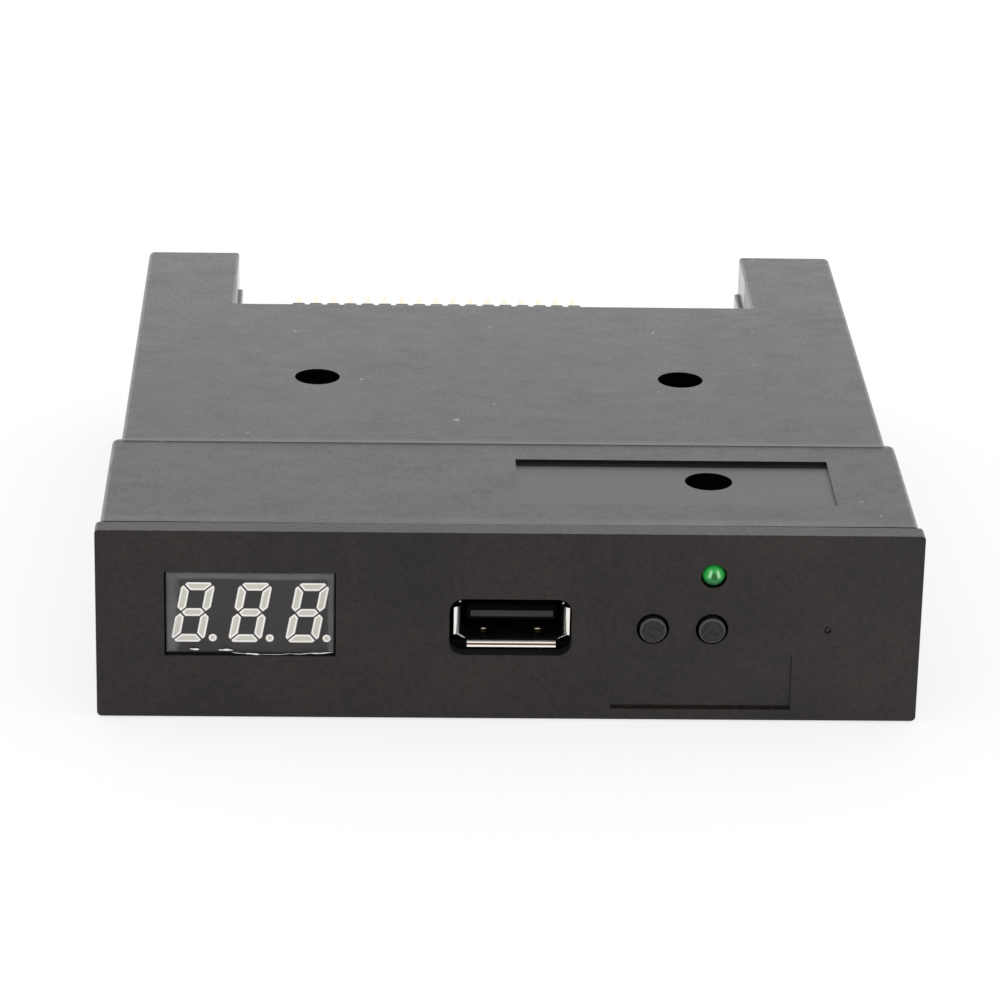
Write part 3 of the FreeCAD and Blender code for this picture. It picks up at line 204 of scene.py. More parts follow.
def facing(tree):
    """The way the surface faces, as the three parts of its normal."""
    geometry = tree.nodes.new("ShaderNodeNewGeometry")
    split = tree.nodes.new("ShaderNodeSeparateXYZ")
    tree.links.new(geometry.outputs["Normal"], split.inputs["Vector"])
    return split.outputs["X"], split.outputs["Y"], split.outputs["Z"]


def level_mask(tree, start=0.45, end=0.8):
    """A mask that is 1 where the surface is level, on its upper or its lower side."""
    _, _, upward = facing(tree)
    return step_up(tree, calc(tree, "ABSOLUTE", upward), start, end)


def face_mask(tree, start, end):
    """A mask that is 1 where the surface faces the front."""
    _, rearward, _ = facing(tree)
    return step_up(tree, calc(tree, "MULTIPLY", rearward, -1.0), start, end)


def blend(tree, mask, low, high):
    """The low value or colour where the mask is 0, and the high one where it is 1."""
    node = tree.nodes.new("ShaderNodeMix")
    node.data_type = "RGBA"
    node.clamp_factor = True
    tree.links.new(mask, node.inputs["Factor"])
    for value, socket in ((low, node.inputs[6]), (high, node.inputs[7])):
        feed(tree, value if isinstance(value, bpy.types.NodeSocket) else as_colour(value), socket)
    return node.outputs[2]


def bump(tree, source, strength):
    node = tree.nodes.new("ShaderNodeBump")
    feed(tree, strength, node.inputs["Strength"])
    node.inputs["Distance"].default_value = GRAIN_HEIGHT
    tree.links.new(source, node.inputs["Height"])
    return node.outputs["Normal"]


def shaded(colour, share):
    return tuple(c * share for c in colour)


def moulded(name, colour, rough, grain=0.25, mottle=0.12):
    """Moulded plastic with a fine spark texture and a faint mottle."""
    material, tree, shader = new_material(name)
    broad = noise(tree, 90, 3, seed=1.7)
    dark, light = shaded(colour, 1 - mottle), shaded(colour, 1 + mottle)
    tree.links.new(ramp(tree, broad, dark, light), shader.inputs["Base Color"])
    tree.links.new(ramp(tree, broad, rough * 0.94, rough * 1.06), shader.inputs["Roughness"])
    fine = noise(tree, 6000, 1, seed=4.2)
    tree.links.new(bump(tree, fine, grain), shader.inputs["Normal"])
    return material


def metal(name, colour, rough):
    """Plated metal whose colour and roughness wander a little."""
    material, tree, shader = new_material(name)
    shader.inputs["Metallic"].default_value = 1
    cloud = noise(tree, 900, 3, seed=2.5)
    tree.links.new(ramp(tree, cloud, shaded(colour, METAL_TINT), colour), shader.inputs["Base Color"])
    smooth, dull = rough * (1 - METAL_WEAR), rough * (1 + METAL_WEAR)
    tree.links.new(ramp(tree, cloud, smooth, dull), shader.inputs["Roughness"])
    return material


# The case: textured tops, smoother sides where it slid out of the mould, a polished label recess.
# The boxes below lie in the object's own space, and None leaves a side open.
CASE_BLACK = (0.0118, 0.0115, 0.0118)
SCUFF_GREY = (0.03, 0.03, 0.03)
DUST_GREY = (0.16, 0.155, 0.15)
# Painted highlight: a pale line on the top just in front of its middle step
RISE_HIGHLIGHT = (0.25, 0.245, 0.245)
# Painted sheen: a paler band on the top right up to its middle step
REAR_EDGE_SHEEN = (0.034, 0.033, 0.033)
# Painted highlight: a paler streaky band on the top just behind its front edge
FRONT_HIGHLIGHT = (0.05, 0.049, 0.049)
# Painted shade: near-black for the steep walls of the top's wells and recess
WELL_PAINTED_SHADE = 0.002
TOP_ROUGH = 0.37
SIDE_ROUGH = 0.24
NOTCH_ROUGH = 0.13
WELL_ROUGH = 0.12
POLISHED_ROUGH = 0.31
MIRROR_ROUGH = 0.05
RECESS_LOW = (1.2 * MM, -50.35 * MM, 24.2 * MM)
RECESS_HIGH = (41.0 * MM, -35.15 * MM, 24.85 * MM)
MIRROR_FRONT = -36.4 * MM
INSIDE_LOW = (-40.0 * MM, -50.4 * MM, None)
INSIDE_HIGH = (41.2 * MM, 22.0 * MM, None)
# Where the painted highlights and sheen lie on the top
RISE_LOW = (None, -29.72 * MM, 24.5 * MM)
RISE_HIGH = (None, -29.48 * MM, None)
REAR_SHEEN_LOW = (None, -29.45 * MM, 24.5 * MM)
REAR_SHEEN_HIGH = (None, -28.8 * MM, None)
FRONT_HIGHLIGHT_SPAN = (-56.3 * MM, -54.6 * MM)
NOTCH_LOW = (-38.5 * MM, 36.0 * MM, None)
NOTCH_HIGH = (38.5 * MM, 60.5 * MM, None)
DUST_LEVEL = 24.7 * MM
CASE_GRAIN = 0.42
FLAT_GRAIN = (1, 0.42, 1)


def case_colour(tree, level, broad):
    """Black with faint scuffs and some dust, and painted highlights and sheen on the top at its middle step
    and near its front edge.
    """
    ground = ramp(tree, broad, shaded(CASE_BLACK, 0.8), shaded(CASE_BLACK, 1.25))
    streaks = noise(tree, 160, 4, 0.62, seed=5.3, stretch=(0.35, 1.6, 1))
    scuffs = calc(tree, "MULTIPLY", ramp(tree, streaks, 0.0, 1.0, 0.56, 0.78), level)
    colour = blend(tree, calc(tree, "MULTIPLY", scuffs, 0.3), ground, SCUFF_GREY)
    dust = ramp(tree, noise(tree, 620, 0, seed=6.6), 0.0, 1.0, 0.845, 0.87)
    above = block(tree, (None, None, DUST_LEVEL), (None, None, None), EDGE)
    colour = blend(tree, calc(tree, "MULTIPLY", dust, above), colour, DUST_GREY)
    colour = blend(tree, block(tree, RISE_LOW, RISE_HIGH, 0.03 * MM), colour, RISE_HIGHLIGHT)
    colour = blend(tree, block(tree, REAR_SHEEN_LOW, REAR_SHEEN_HIGH, 0.15 * MM), colour, REAR_EDGE_SHEEN)
    _, y, _ = axes(tree)
    front = calc(tree, "MULTIPLY", step_up(tree, y, FRONT_HIGHLIGHT_SPAN[1], FRONT_HIGHLIGHT_SPAN[0]), level)
    front = calc(tree, "MULTIPLY", front, ramp(tree, streaks, 0.2, 1.0, 0.35, 0.6))
    return blend(tree, front, colour, FRONT_HIGHLIGHT)


def case_rough(tree, level, smooth, broad):
    """Rough on level tops, smoother on sides, polished in the recess with a mirror strip behind."""
    speck = noise(tree, 2600, 2, 0.6, seed=8.1, stretch=FLAT_GRAIN)
    blotch = noise(tree, 420, 3, 0.6, seed=2.9, stretch=(0.7, 1, 1))
    wander = calc(tree, "MULTIPLY_ADD", broad, 0.2, calc(tree, "MULTIPLY", speck, 0.45))
    wander = calc(tree, "MULTIPLY_ADD", blotch, 0.35, wander)
    top = ramp(tree, wander, TOP_ROUGH * 0.78, TOP_ROUGH * 1.22, 0.35, 0.65)
    side = ramp(tree, broad, SIDE_ROUGH * 0.85, SIDE_ROUGH * 1.15)
    side = blend(tree, block(tree, NOTCH_LOW, NOTCH_HIGH, EDGE), side, NOTCH_ROUGH)
    _, y, _ = axes(tree)
    mirror = step_up(tree, y, MIRROR_FRONT, MIRROR_FRONT + EDGE)
    shine = blend(tree, mirror, POLISHED_ROUGH, MIRROR_ROUGH)
    return blend(tree, calc(tree, "MULTIPLY", smooth, level), blend(tree, level, side, top), shine)


def case_plastic():
    material, tree, shader = new_material("case_plastic")
    level = level_mask(tree)
    smooth = block(tree, RECESS_LOW, RECESS_HIGH, EDGE)
    steep = calc(tree, "SUBTRACT", 1.0, level_mask(tree, 0.3, 0.6))
    # Painted shade: steep walls within the top's middle, the wells and recess among them, are painted
    # near-black
    dark = calc(tree, "MULTIPLY", steep, block(tree, INSIDE_LOW, INSIDE_HIGH, EDGE))
    broad = noise(tree, 60, 4, 0.6, seed=1.7)
    colour = blend(tree, dark, case_colour(tree, level, broad), WELL_PAINTED_SHADE)
    tree.links.new(colour, shader.inputs["Base Color"])
    rough = blend(tree, dark, case_rough(tree, level, smooth, broad), WELL_ROUGH)
    tree.links.new(rough, shader.inputs["Roughness"])
    plain = calc(tree, "MULTIPLY_ADD", smooth, -0.95, 1.0)
    amount = calc(tree, "MULTIPLY", calc(tree, "MULTIPLY", level, CASE_GRAIN), plain)
    grain = noise(tree, 3600, 2, seed=4.2, stretch=FLAT_GRAIN)
    tree.links.new(bump(tree, grain, amount), shader.inputs["Normal"])
    return material


# The bezel: a little browner than the case, with a smooth label recess, opening walls painted near-black as
# shade, and painted light towards its right
BEZEL_BLACK = (0.0135, 0.0098, 0.0086)
BEZEL_RUBBED = (0.03, 0.028, 0.027)
BEZEL_GLOSS = 0.35
# Painted light: grey added to the face towards its right
RIGHT_PAINTED_LIGHT = 0.0045
# Painted shade: near-black for the inner walls of the openings
HOLE_PAINTED_SHADE = 0.001
HOLE_ROUGH = 0.9
LABEL_ROUGH = 0.2
LABEL_LOW = (12.55 * MM, -60.0 * MM, 1.3 * MM)
LABEL_HIGH = (35.25 * MM, -59.3 * MM, 8.9 * MM)
HOLE_FRONT = -60.12 * MM

# The openings for the socket, the two buttons and the display, each as its two corners' (x, z) in
# millimetres
HOLES = (
    ((-7.5, 8.5), (7.8, 16.2)),
    ((15.55, 10.2), (19.8, 14.4)),
    ((22.85, 10.2), (27.1, 14.4)),
    ((-42.5, 8.2), (-21.2, 19.5)),
)


def lifted(tree, colour, amount):
    """The colour with a little grey added to it."""
    node = tree.nodes.new("ShaderNodeMix")
    node.data_type = "RGBA"
    node.blend_type = "ADD"
    node.inputs["Factor"].default_value = 1
    tree.links.new(colour, node.inputs[6])
    node.inputs[7].default_value = as_colour(amount)
    return node.outputs[2]


def hole_walls(tree):
    """A mask over the inner walls of the bezel's openings, behind its front face: the walls that are painted
    near-black as shade.
    """
    walls = None
    for (x0, z0), (x1, z1) in HOLES:
        low = (x0 * MM, HOLE_FRONT, z0 * MM)
        part = block(tree, low, (x1 * MM, None, z1 * MM), EDGE)
        walls = part if walls is None else calc(tree, "MAXIMUM", walls, part)
    return walls


def bezel_plastic():
    material, tree, shader = new_material("bezel_plastic")
    polished = block(tree, LABEL_LOW, LABEL_HIGH, EDGE)
    walls = hole_walls(tree)
    broad = noise(tree, 70, 4, 0.6, seed=3.1)
    speck = noise(tree, 1700, 3, 0.6, seed=8.8)
    mixed = calc(tree, "MULTIPLY_ADD", speck, 0.6, calc(tree, "MULTIPLY", broad, 0.4))
    ground = ramp(tree, mixed, shaded(BEZEL_BLACK, 0.45), shaded(BEZEL_BLACK, 1.6), 0.38, 0.62)
    # Painted light: the face grows paler towards its right
    x, _, _ = axes(tree)
    right = step_up(tree, x, 10 * MM, 52 * MM)
    ground = blend(tree, right, ground, lifted(tree, ground, RIGHT_PAINTED_LIGHT))
    rubs = noise(tree, 220, 4, 0.6, seed=9.4, stretch=(1.5, 1, 0.4))
    colour = blend(tree, ramp(tree, rubs, 0.0, 0.22, 0.58, 0.8), ground, BEZEL_RUBBED)
    # Painted shade on the openings' walls
    tree.links.new(blend(tree, walls, colour, HOLE_PAINTED_SHADE), shader.inputs["Base Color"])
    rough = blend(tree, polished, ramp(tree, speck, 0.36, 0.46), LABEL_ROUGH)
    tree.links.new(blend(tree, walls, rough, HOLE_ROUGH), shader.inputs["Roughness"])
    amount = calc(tree, "MULTIPLY_ADD", polished, -0.9, 1.0)
    grain = calc(tree, "MULTIPLY_ADD", speck, 1.5, noise(tree, 4200, 2, seed=4.2))
    tree.links.new(bump(tree, grain, amount), shader.inputs["Normal"])
    shader.inputs["Specular IOR Level"].default_value = BEZEL_GLOSS
    return material


# The socket: bright rolled lips, painted shade inside, painted glints on the springs' crests, and a painted
# lit band on the tongue
LIP_DARK = (0.97, 0.93, 0.87)
LIP_BRIGHT = (0.99, 0.97, 0.94)
# Painted reflection: a brown line along the lower lip
REFLECTION_BROWN = (0.13, 0.06, 0.035)
LIP_END = -57.45 * MM
LIP_REFLECTION_LINE = (9.08 * MM, 9.29 * MM)
# Painted shade on the floor springs, and a painted glint along their crests
SPRING_SHADE_DARK = (0.05, 0.035, 0.02)
SPRING_SHADE_LIGHT = (0.1, 0.075, 0.045)
SPRING_GLINT = (0.95, 0.82, 0.55)
SPRING_GLINT_REACH = (1.15 * MM, 0.4 * MM)
SPRING_CREST = (-55.75 * MM, -54.95 * MM)
# Painted light: a paler band across the tongue's front end; painted shade: near-black elsewhere
TONGUE_LIT_DARK = (0.045, 0.042, 0.044)
TONGUE_LIT_LIGHT = (0.056, 0.052, 0.055)
TONGUE_SHADE = 0.0015
TONGUE_GLOSS = 0.12
TONGUE_LIT_LOW = (None, None, 12.85 * MM)
TONGUE_LIT_HIGH = (None, -57.8 * MM, 13.62 * MM)


def socket_sheet():
    """The socket's bright shell. Its rolled lips shine; beyond them, and wherever it doesn't face the front,
    it is painted dark as shade.
    """
    material, tree, shader = new_material("socket_sheet")
    cloud = noise(tree, 900, 3, seed=2.5)
    bright = ramp(tree, cloud, LIP_DARK, LIP_BRIGHT)
    _, y, z = axes(tree)
    inner = step_up(tree, y, LIP_END - 0.1 * MM, LIP_END + 0.1 * MM)
    turned = calc(tree, "SUBTRACT", 1.0, face_mask(tree, 0.5, 0.68))
    inside_shade = calc(tree, "MAXIMUM", inner, turned)
    # Painted reflection: a brown line across the lower lip
    brown_reflection = band(tree, z, *LIP_REFLECTION_LINE, 0.03 * MM)
    brown_reflection = calc(tree, "MULTIPLY", brown_reflection, face_mask(tree, -0.2, 0.1))
    lip = blend(tree, brown_reflection, bright, REFLECTION_BROWN)
    # Painted shade: the dark colour for the shell beyond its lips and where it doesn't face the front
    dull = ramp(tree, cloud, 0.015, 0.03)
    tree.links.new(blend(tree, inside_shade, lip, dull), shader.inputs["Base Color"])
    tree.links.new(blend(tree, inside_shade, ramp(tree, cloud, 0.16, 0.22), 0.6), shader.inputs["Roughness"])
    shader.inputs["Metallic"].default_value = 0.9
    return material


def spring_sheet():
    """The socket's floor springs: painted dark as shade, with a painted glint along their crests."""
    material, tree, shader = new_material("spring_sheet")
    shader.inputs["Metallic"].default_value = 1
    low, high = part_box("usb_springs")
    cloud = noise(tree, 1100, 3, seed=6.5)
    x, y, _ = axes(tree)
    middle = (low[0] + high[0]) / 2
    reach = (high[0] - low[0]) / 2
    across = calc(tree, "ABSOLUTE", calc(tree, "SUBTRACT", x, middle))
    outer, inner = SPRING_GLINT_REACH
    glint_band = band(tree, across, reach - outer, reach - inner, 0.05 * MM)
    crest_glint = calc(tree, "MULTIPLY", glint_band, band(tree, y, *SPRING_CREST, 0.1 * MM))
    spring_shade = ramp(tree, cloud, SPRING_SHADE_DARK, SPRING_SHADE_LIGHT)
    tree.links.new(blend(tree, crest_glint, spring_shade, SPRING_GLINT), shader.inputs["Base Color"])
    tree.links.new(blend(tree, crest_glint, ramp(tree, cloud, 0.3, 0.45), 0.3), shader.inputs["Roughness"])
    return material


def socket_plastic():
    """The socket's tongue: a painted lit band across its front end, and painted shade on the rest."""
    material, tree, shader = new_material("socket_plastic")
    cloud = noise(tree, 400, 3, seed=5.1)
    # Painted light on the band of the front end, painted shade elsewhere
    lit_band = block(tree, TONGUE_LIT_LOW, TONGUE_LIT_HIGH, EDGE)
    front = calc(tree, "MULTIPLY", face_mask(tree, 0.95, 0.99), lit_band)
    end = ramp(tree, cloud, TONGUE_LIT_DARK, TONGUE_LIT_LIGHT)
    tree.links.new(blend(tree, front, TONGUE_SHADE, end), shader.inputs["Base Color"])
    tree.links.new(blend(tree, front, 0.9, ramp(tree, cloud, 0.36, 0.44)), shader.inputs["Roughness"])
    shader.inputs["Specular IOR Level"].default_value = TONGUE_GLOSS
    return material


BUTTON_DARK = (0.006, 0.005, 0.005)
BUTTON_LIGHT = (0.022, 0.018, 0.018)
# Painted highlight on the caps' rims, and painted shade on their sides
BUTTON_RIM_HIGHLIGHT = (0.075, 0.07, 0.068)
BUTTON_SIDE_SHADE = 0.002
BUTTON_SIDE_ROUGH = 0.85


def button_plastic():
    """The button caps, with a painted highlight on their rim, and dull sides that are painted dark as shade.
    """
    material, tree, shader = new_material("button_plastic")
    cloud = noise(tree, 300, 3, seed=7.4)
    face = face_mask(tree, 0.9, 0.99)
    rim = face_mask(tree, 0.25, 0.6)
    speck = noise(tree, 1700, 3, 0.6, seed=8.8)
    ground = ramp(tree, speck, BUTTON_DARK, BUTTON_LIGHT, 0.38, 0.62)
    edge = blend(tree, rim, BUTTON_SIDE_SHADE, BUTTON_RIM_HIGHLIGHT)
    tree.links.new(blend(tree, face, edge, ground), shader.inputs["Base Color"])
    rough = blend(tree, rim, BUTTON_SIDE_ROUGH, ramp(tree, cloud, 0.34, 0.42))
    tree.links.new(rough, shader.inputs["Roughness"])
    grain = noise(tree, 3000, 3, seed=4.2)
    tree.links.new(bump(tree, grain, 0.6), shader.inputs["Normal"])
    shader.inputs["Specular IOR Level"].default_value = BEZEL_GLOSS
    return material


# The boards. What lies in front of FRONT_BOARD, which takes in the display's own board, is painted near-black
# as shade.
# A track's width is given as a share of the pitch, and its offset keeps the counted place above 0.
TRACK_PITCH = 1.27 * MM
TRACK_OFFSET = 0.2
TRACK_STEPS = 14.0
TRACK_WIDTH = (0.36, 0.64)
MASK_DARK = (0.0055, 0.045, 0.018)
MASK_LIGHT = (0.0075, 0.056, 0.023)
TRACK_GREEN = (0.013, 0.095, 0.036)
LAMINATE_DARK = (0.03, 0.028, 0.012)
LAMINATE_LIGHT = (0.055, 0.05, 0.02)
# Painted shade: near-black for the boards in front of FRONT_BOARD
FRONT_BOARD_SHADE = (0.006, 0.007, 0.006)
FRONT_BOARD = -55.0 * MM


def track_mask(tree):
    """Copper tracks that run front to back, step sideways together and leave gaps."""
    x, _, _ = axes(tree)
    drift = noise(tree, 16, 0, seed=1.4, stretch=(0.05, 1, 0))
    steps = calc(tree, "FLOOR", calc(tree, "MULTIPLY", drift, TRACK_STEPS))
    shifted = calc(tree, "MULTIPLY_ADD", steps, TRACK_PITCH / 2, x)
    counted = calc(tree, "DIVIDE", calc(tree, "ADD", shifted, TRACK_OFFSET), TRACK_PITCH)
    lines = band(tree, calc(tree, "FRACT", counted), *TRACK_WIDTH, 0.05)
    there = step_up(tree, noise(tree, 130, 1, seed=7.7, stretch=(1, 0.15, 0)), 0.46, 0.48)
    return calc(tree, "MULTIPLY", lines, there)


def board_laminate():
    """Green solder mask over copper tracks, bare laminate at the edges, and painted near-black shade at the
    front.
    """
    material, tree, shader = new_material("board_laminate")
    level = level_mask(tree)
    cloud = noise(tree, 90, 2, seed=4.7)
    copper = calc(tree, "MULTIPLY", track_mask(tree), level)
    mask = blend(tree, copper, ramp(tree, cloud, MASK_DARK, MASK_LIGHT), TRACK_GREEN)
    layers = noise(tree, 2600, 2, seed=3.3, stretch=(0.2, 0.2, 1))
    edge = ramp(tree, layers, LAMINATE_DARK, LAMINATE_LIGHT)
    front = block(tree, (None, None, None), (None, FRONT_BOARD, None), 0.5 * MM)
    shade = blend(tree, front, blend(tree, level, edge, mask), FRONT_BOARD_SHADE)
    tree.links.new(shade, shader.inputs["Base Color"])
    tree.links.new(ramp(tree, noise(tree, 120, 2, seed=2.2), 0.24, 0.34), shader.inputs["Roughness"])
    tree.links.new(bump(tree, copper, 0.5), shader.inputs["Normal"])
    return material


# The film's borders of painted reflection, each as the distances from its edge where it starts and is full
FILM_TOP_REFLECTION = (1.0 * MM, 0.55 * MM)
FILM_LEFT_REFLECTION = (1.9 * MM, 0.7 * MM)
FILM_RIGHT_REFLECTION = (0.8 * MM, 0.45 * MM)
FILM_RIPPLE = 0.5 * MM
# The colour of the film's painted reflection
FILM_DARK = (0.75, 0.76, 0.8)
FILM_LIGHT = (0.88, 0.88, 0.9)


def clear_film():
    """A thin clear film, with painted reflection where it lifts along its top and its sides, and a faint
    painted reflection over the rest.
    """
    material, tree, shader = new_material("clear_film")
    low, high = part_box("display_film")
    x, _, z = axes(tree)
    cloud = noise(tree, 420, 3, 0.6, seed=6.1)
    ripple = calc(tree, "MULTIPLY_ADD", noise(tree, 260, 2, seed=2.8), FILM_RIPPLE, -FILM_RIPPLE / 2)
    start, full = FILM_TOP_REFLECTION
    top = step_up(tree, calc(tree, "ADD", z, ripple), high[2] - start, high[2] - full)
    start, full = FILM_LEFT_REFLECTION
    left = step_up(tree, calc(tree, "SUBTRACT", x, ripple), low[0] + start, low[0] + full)
    start, full = FILM_RIGHT_REFLECTION
    right = step_up(tree, x, high[0] - start, high[0] - full)
    sides = calc(tree, "MAXIMUM", calc(tree, "MULTIPLY", left, 0.85), calc(tree, "MULTIPLY", right, 0.8))
    loose = calc(tree, "MAXIMUM", top, sides)
    painted_reflection = calc(tree, "MULTIPLY", loose, calc(tree, "MULTIPLY_ADD", cloud, 0.07, 0.03))
    # A faint painted reflection in patches over the whole film
    painted_veil = ramp(tree, noise(tree, 160, 2, seed=1.2), 0.001, 0.007)
    tree.links.new(calc(tree, "ADD", painted_reflection, painted_veil), shader.inputs["Alpha"])
    tree.links.new(ramp(tree, cloud, FILM_DARK, FILM_LIGHT), shader.inputs["Base Color"])
    tree.links.new(ramp(tree, cloud, 0.12, 0.2), shader.inputs["Roughness"])
    return material


# The lamp's lens. Its marks are measured across and upwards from its middle.
# Painted light and shade: the lens is darker low down and lighter higher up
LENS_SHADED = (0.03, 0.125, 0.06)
LENS_LIT = (0.012, 0.37, 0.05)
LENS_SPOT = (0.04, 0.42, 0.09)
LENS_GAP = (0.01, 0.15, 0.025)
LENS_GLINT = (0.6, 0.9, 0.7)
LENS_POST = (0.36, 0.72, 0.4)
LENS_LEAN = 0.25
LENS_RISE = (-0.9 * MM, 0.1 * MM)
POST_ACROSS = (0.4 * MM, 0.78 * MM)
POST_UP = (-0.1 * MM, 0.8 * MM)
GAP_ACROSS = (-0.36 * MM, 0.36 * MM)
GAP_UP = (-0.45 * MM, 0.5 * MM)
GLINT_ACROSS = (-1.7 * MM, -1.35 * MM)
GLINT_UP = (0.2 * MM, 0.6 * MM)


def lamp_green():
    """A green lens with its two lead posts showing pale through it, painted light above and shade below, and
    a painted glint.
    """
    material, tree, shader = new_material("lamp_green")
    low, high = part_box("status_lamp")
    x, _, z = axes(tree)
    across = calc(tree, "SUBTRACT", x, (low[0] + high[0]) / 2)
    above = calc(tree, "SUBTRACT", z, (low[2] + high[2]) / 2)
    spread = calc(tree, "MULTIPLY_ADD", above, LENS_LEAN, calc(tree, "ABSOLUTE", across))
    posts = band(tree, spread, *POST_ACROSS, 0.1 * MM)
    reach = band(tree, above, *POST_UP, 0.2 * MM)
    gap = band(tree, across, *GAP_ACROSS, 0.12 * MM)
    gap = calc(tree, "MULTIPLY", gap, band(tree, above, *GAP_UP, 0.2 * MM))
    rise = step_up(tree, above, *LENS_RISE)
    spots = ramp(tree, noise(tree, 1500, 2, seed=3.9), 0.0, 0.35)
    lens = blend(tree, spots, blend(tree, rise, LENS_SHADED, LENS_LIT), LENS_SPOT)
    lens = blend(tree, gap, lens, LENS_GAP)
    # A painted glint at the lens's left edge
    glint = band(tree, across, *GLINT_ACROSS, 0.06 * MM)
    glint = calc(tree, "MULTIPLY", glint, band(tree, above, *GLINT_UP, 0.1 * MM))
    lens = blend(tree, glint, lens, LENS_GLINT)
    seen = calc(tree, "MULTIPLY", posts, reach)
    tree.links.new(blend(tree, seen, lens, LENS_POST), shader.inputs["Base Color"])
    tree.links.new(ramp(tree, noise(tree, 700, 2, seed=0.4), 0.1, 0.16), shader.inputs["Roughness"])
    shader.inputs["Specular IOR Level"].default_value = 0.3
    shader.inputs["Subsurface Weight"].default_value = 0.25
    shader.inputs["Subsurface Radius"].default_value = (0.4, 1.0, 0.5)
    shader.inputs["Subsurface Scale"].default_value = 0.3 * MM
    return material


finishes = {
    "case_plastic": case_plastic(),
    "bezel_plastic": bezel_plastic(),
    "button_plastic": button_plastic(),
    "switch_plastic": moulded("switch_plastic", (0.02, 0.02, 0.02), 0.5),
    "plunger_plastic": moulded("plunger_plastic", (0.12, 0.08, 0.055), 0.45),
    "board_laminate": board_laminate(),
    "socket_sheet": socket_sheet(),
    "socket_plastic": socket_plastic(),
    "contact_plate": metal("contact_plate", (0.95, 0.75, 0.42), 0.22),
    "pin_plate": metal("pin_plate", (0.74, 0.66, 0.53), 0.3),
    "tinned_wire": metal("tinned_wire", (0.75, 0.75, 0.74), 0.35),
    "display_face": moulded("display_face", (0.0185, 0.0145, 0.0138), 0.42, grain=0.1),
    "display_bar": moulded("display_bar", (0.64, 0.63, 0.55), 0.35, grain=0.05, mottle=0.05),
    "clear_film": clear_film(),
    "lamp_green": lamp_green(),
    "header_plastic": moulded("header_plastic", (0.014, 0.014, 0.014), 0.42),
    "cap_plastic": moulded("cap_plastic", (0.018, 0.018, 0.02), 0.36),
    "supply_plastic": moulded("supply_plastic", (0.68, 0.66, 0.6), 0.4, mottle=0.05),
    "lead_plastic": moulded("lead_plastic", (0.66, 0.64, 0.58), 0.4, mottle=0.05),
    "wire_cover": moulded("wire_cover", (0.03, 0.03, 0.03), 0.5),
    "chip_black": moulded("chip_black", (0.022, 0.022, 0.024), 0.55),
    "can_metal": metal("can_metal", (0.8, 0.81, 0.81), 0.3),
    "crystal_metal": metal("crystal_metal", (0.8, 0.8, 0.78), 0.3),
    "screw_metal": metal("screw_metal", (0.62, 0.62, 0.63), 0.35),
    "chip_ceramic": moulded("chip_ceramic", (0.2, 0.15, 0.11), 0.5),
}


def dress_nodes():
    for part in frame["record"]["subparts"]:
        node = nodes[part["node"]]
        finish = finishes[part["material_slot"]]
        if not node.material_slots:
            node.data.materials.append(finish)
        for place in node.material_slots:
            place.material = finish
    for place in nodes["usb_springs"].material_slots:
        place.material = spring_sheet()


def add_piece(name, build, materials, replaced=()):
    """Makes a piece on the drive's own body from a builder that fills a bmesh."""
    mesh = bpy.data.meshes.new(name)
    shape = bmesh.new()
    build(shape)
    shape.to_mesh(mesh)
    shape.free()
    piece = bpy.data.objects.new(name, mesh)
    bpy.context.scene.collection.objects.link(piece)
    for material in materials:
        mesh.materials.append(material)
    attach(piece, "drive")
    if replaced:
        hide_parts(*replaced)
    return piece


SEGMENT_RIM = 0.235 * MM
SEGMENT_TRIM = 0.13 * MM
SEGMENT_SINK = 0.02 * MM
SEGMENT_DEPTH = 0.4 * MM
SAME_POINT = 1e-7
SAME_PLANE = 1e-6


def smoothed(shape):
    for face in shape.faces:
        face.smooth = True


def skin(shape, rings):
    """Joins rings of vertices into a closed tube with flat ends."""
    for one, two in zip(rings, rings[1:]):
        for k in range(len(one)):
            n = (k + 1) % len(one)
            shape.faces.new((one[k], one[n], two[n], two[k]))
    shape.faces.new(rings[0][::-1])
    shape.faces.new(rings[-1])


def faces_at(shape, y):
    """The faces that lie wholly in the plane of one y."""
    return [f for f in shape.faces if all(abs(v.co.y - y) < SAME_PLANE for v in f.verts)]


def segment_faces(shape):
    """The display's bars and points, each with a dark outline, a pale rim and a greyer middle."""
    node = nodes["display_segments"]
    shape.from_mesh(node.data)
    shape.transform(node.matrix_world)
    bmesh.ops.remove_doubles(shape, verts=shape.verts, dist=SAME_POINT)
    front = min(v.co.y for v in shape.verts)
    bmesh.ops.dissolve_faces(shape, faces=faces_at(shape, front), use_verts=False)
    outlines = [[v.co.copy() for v in face.verts] for face in faces_at(shape, front)]
    shape.clear()
    for outline in outlines:
        verts = [shape.verts.new(co + Vector((0, SEGMENT_SINK, 0))) for co in outline]
        shape.faces.new(verts)
    bars = list(shape.faces)
    bmesh.ops.inset_individual(shape, faces=bars, thickness=SEGMENT_TRIM, use_even_offset=True)
    moats = [f for f in shape.faces if f not in bars]
    ring = bmesh.ops.extrude_face_region(shape, geom=bars + moats, use_keep_orig=True)
    behind = [v for v in ring["geom"] if isinstance(v, bmesh.types.BMVert)]
    bmesh.ops.translate(shape, verts=behind, vec=(0, SEGMENT_DEPTH, 0))
    bmesh.ops.inset_individual(shape, faces=bars, thickness=SEGMENT_RIM, use_even_offset=True)
    for face in bars:
        face.material_index = 1
    for face in moats:
        face.material_index = 2
    bmesh.ops.recalc_face_normals(shape, faces=shape.faces)


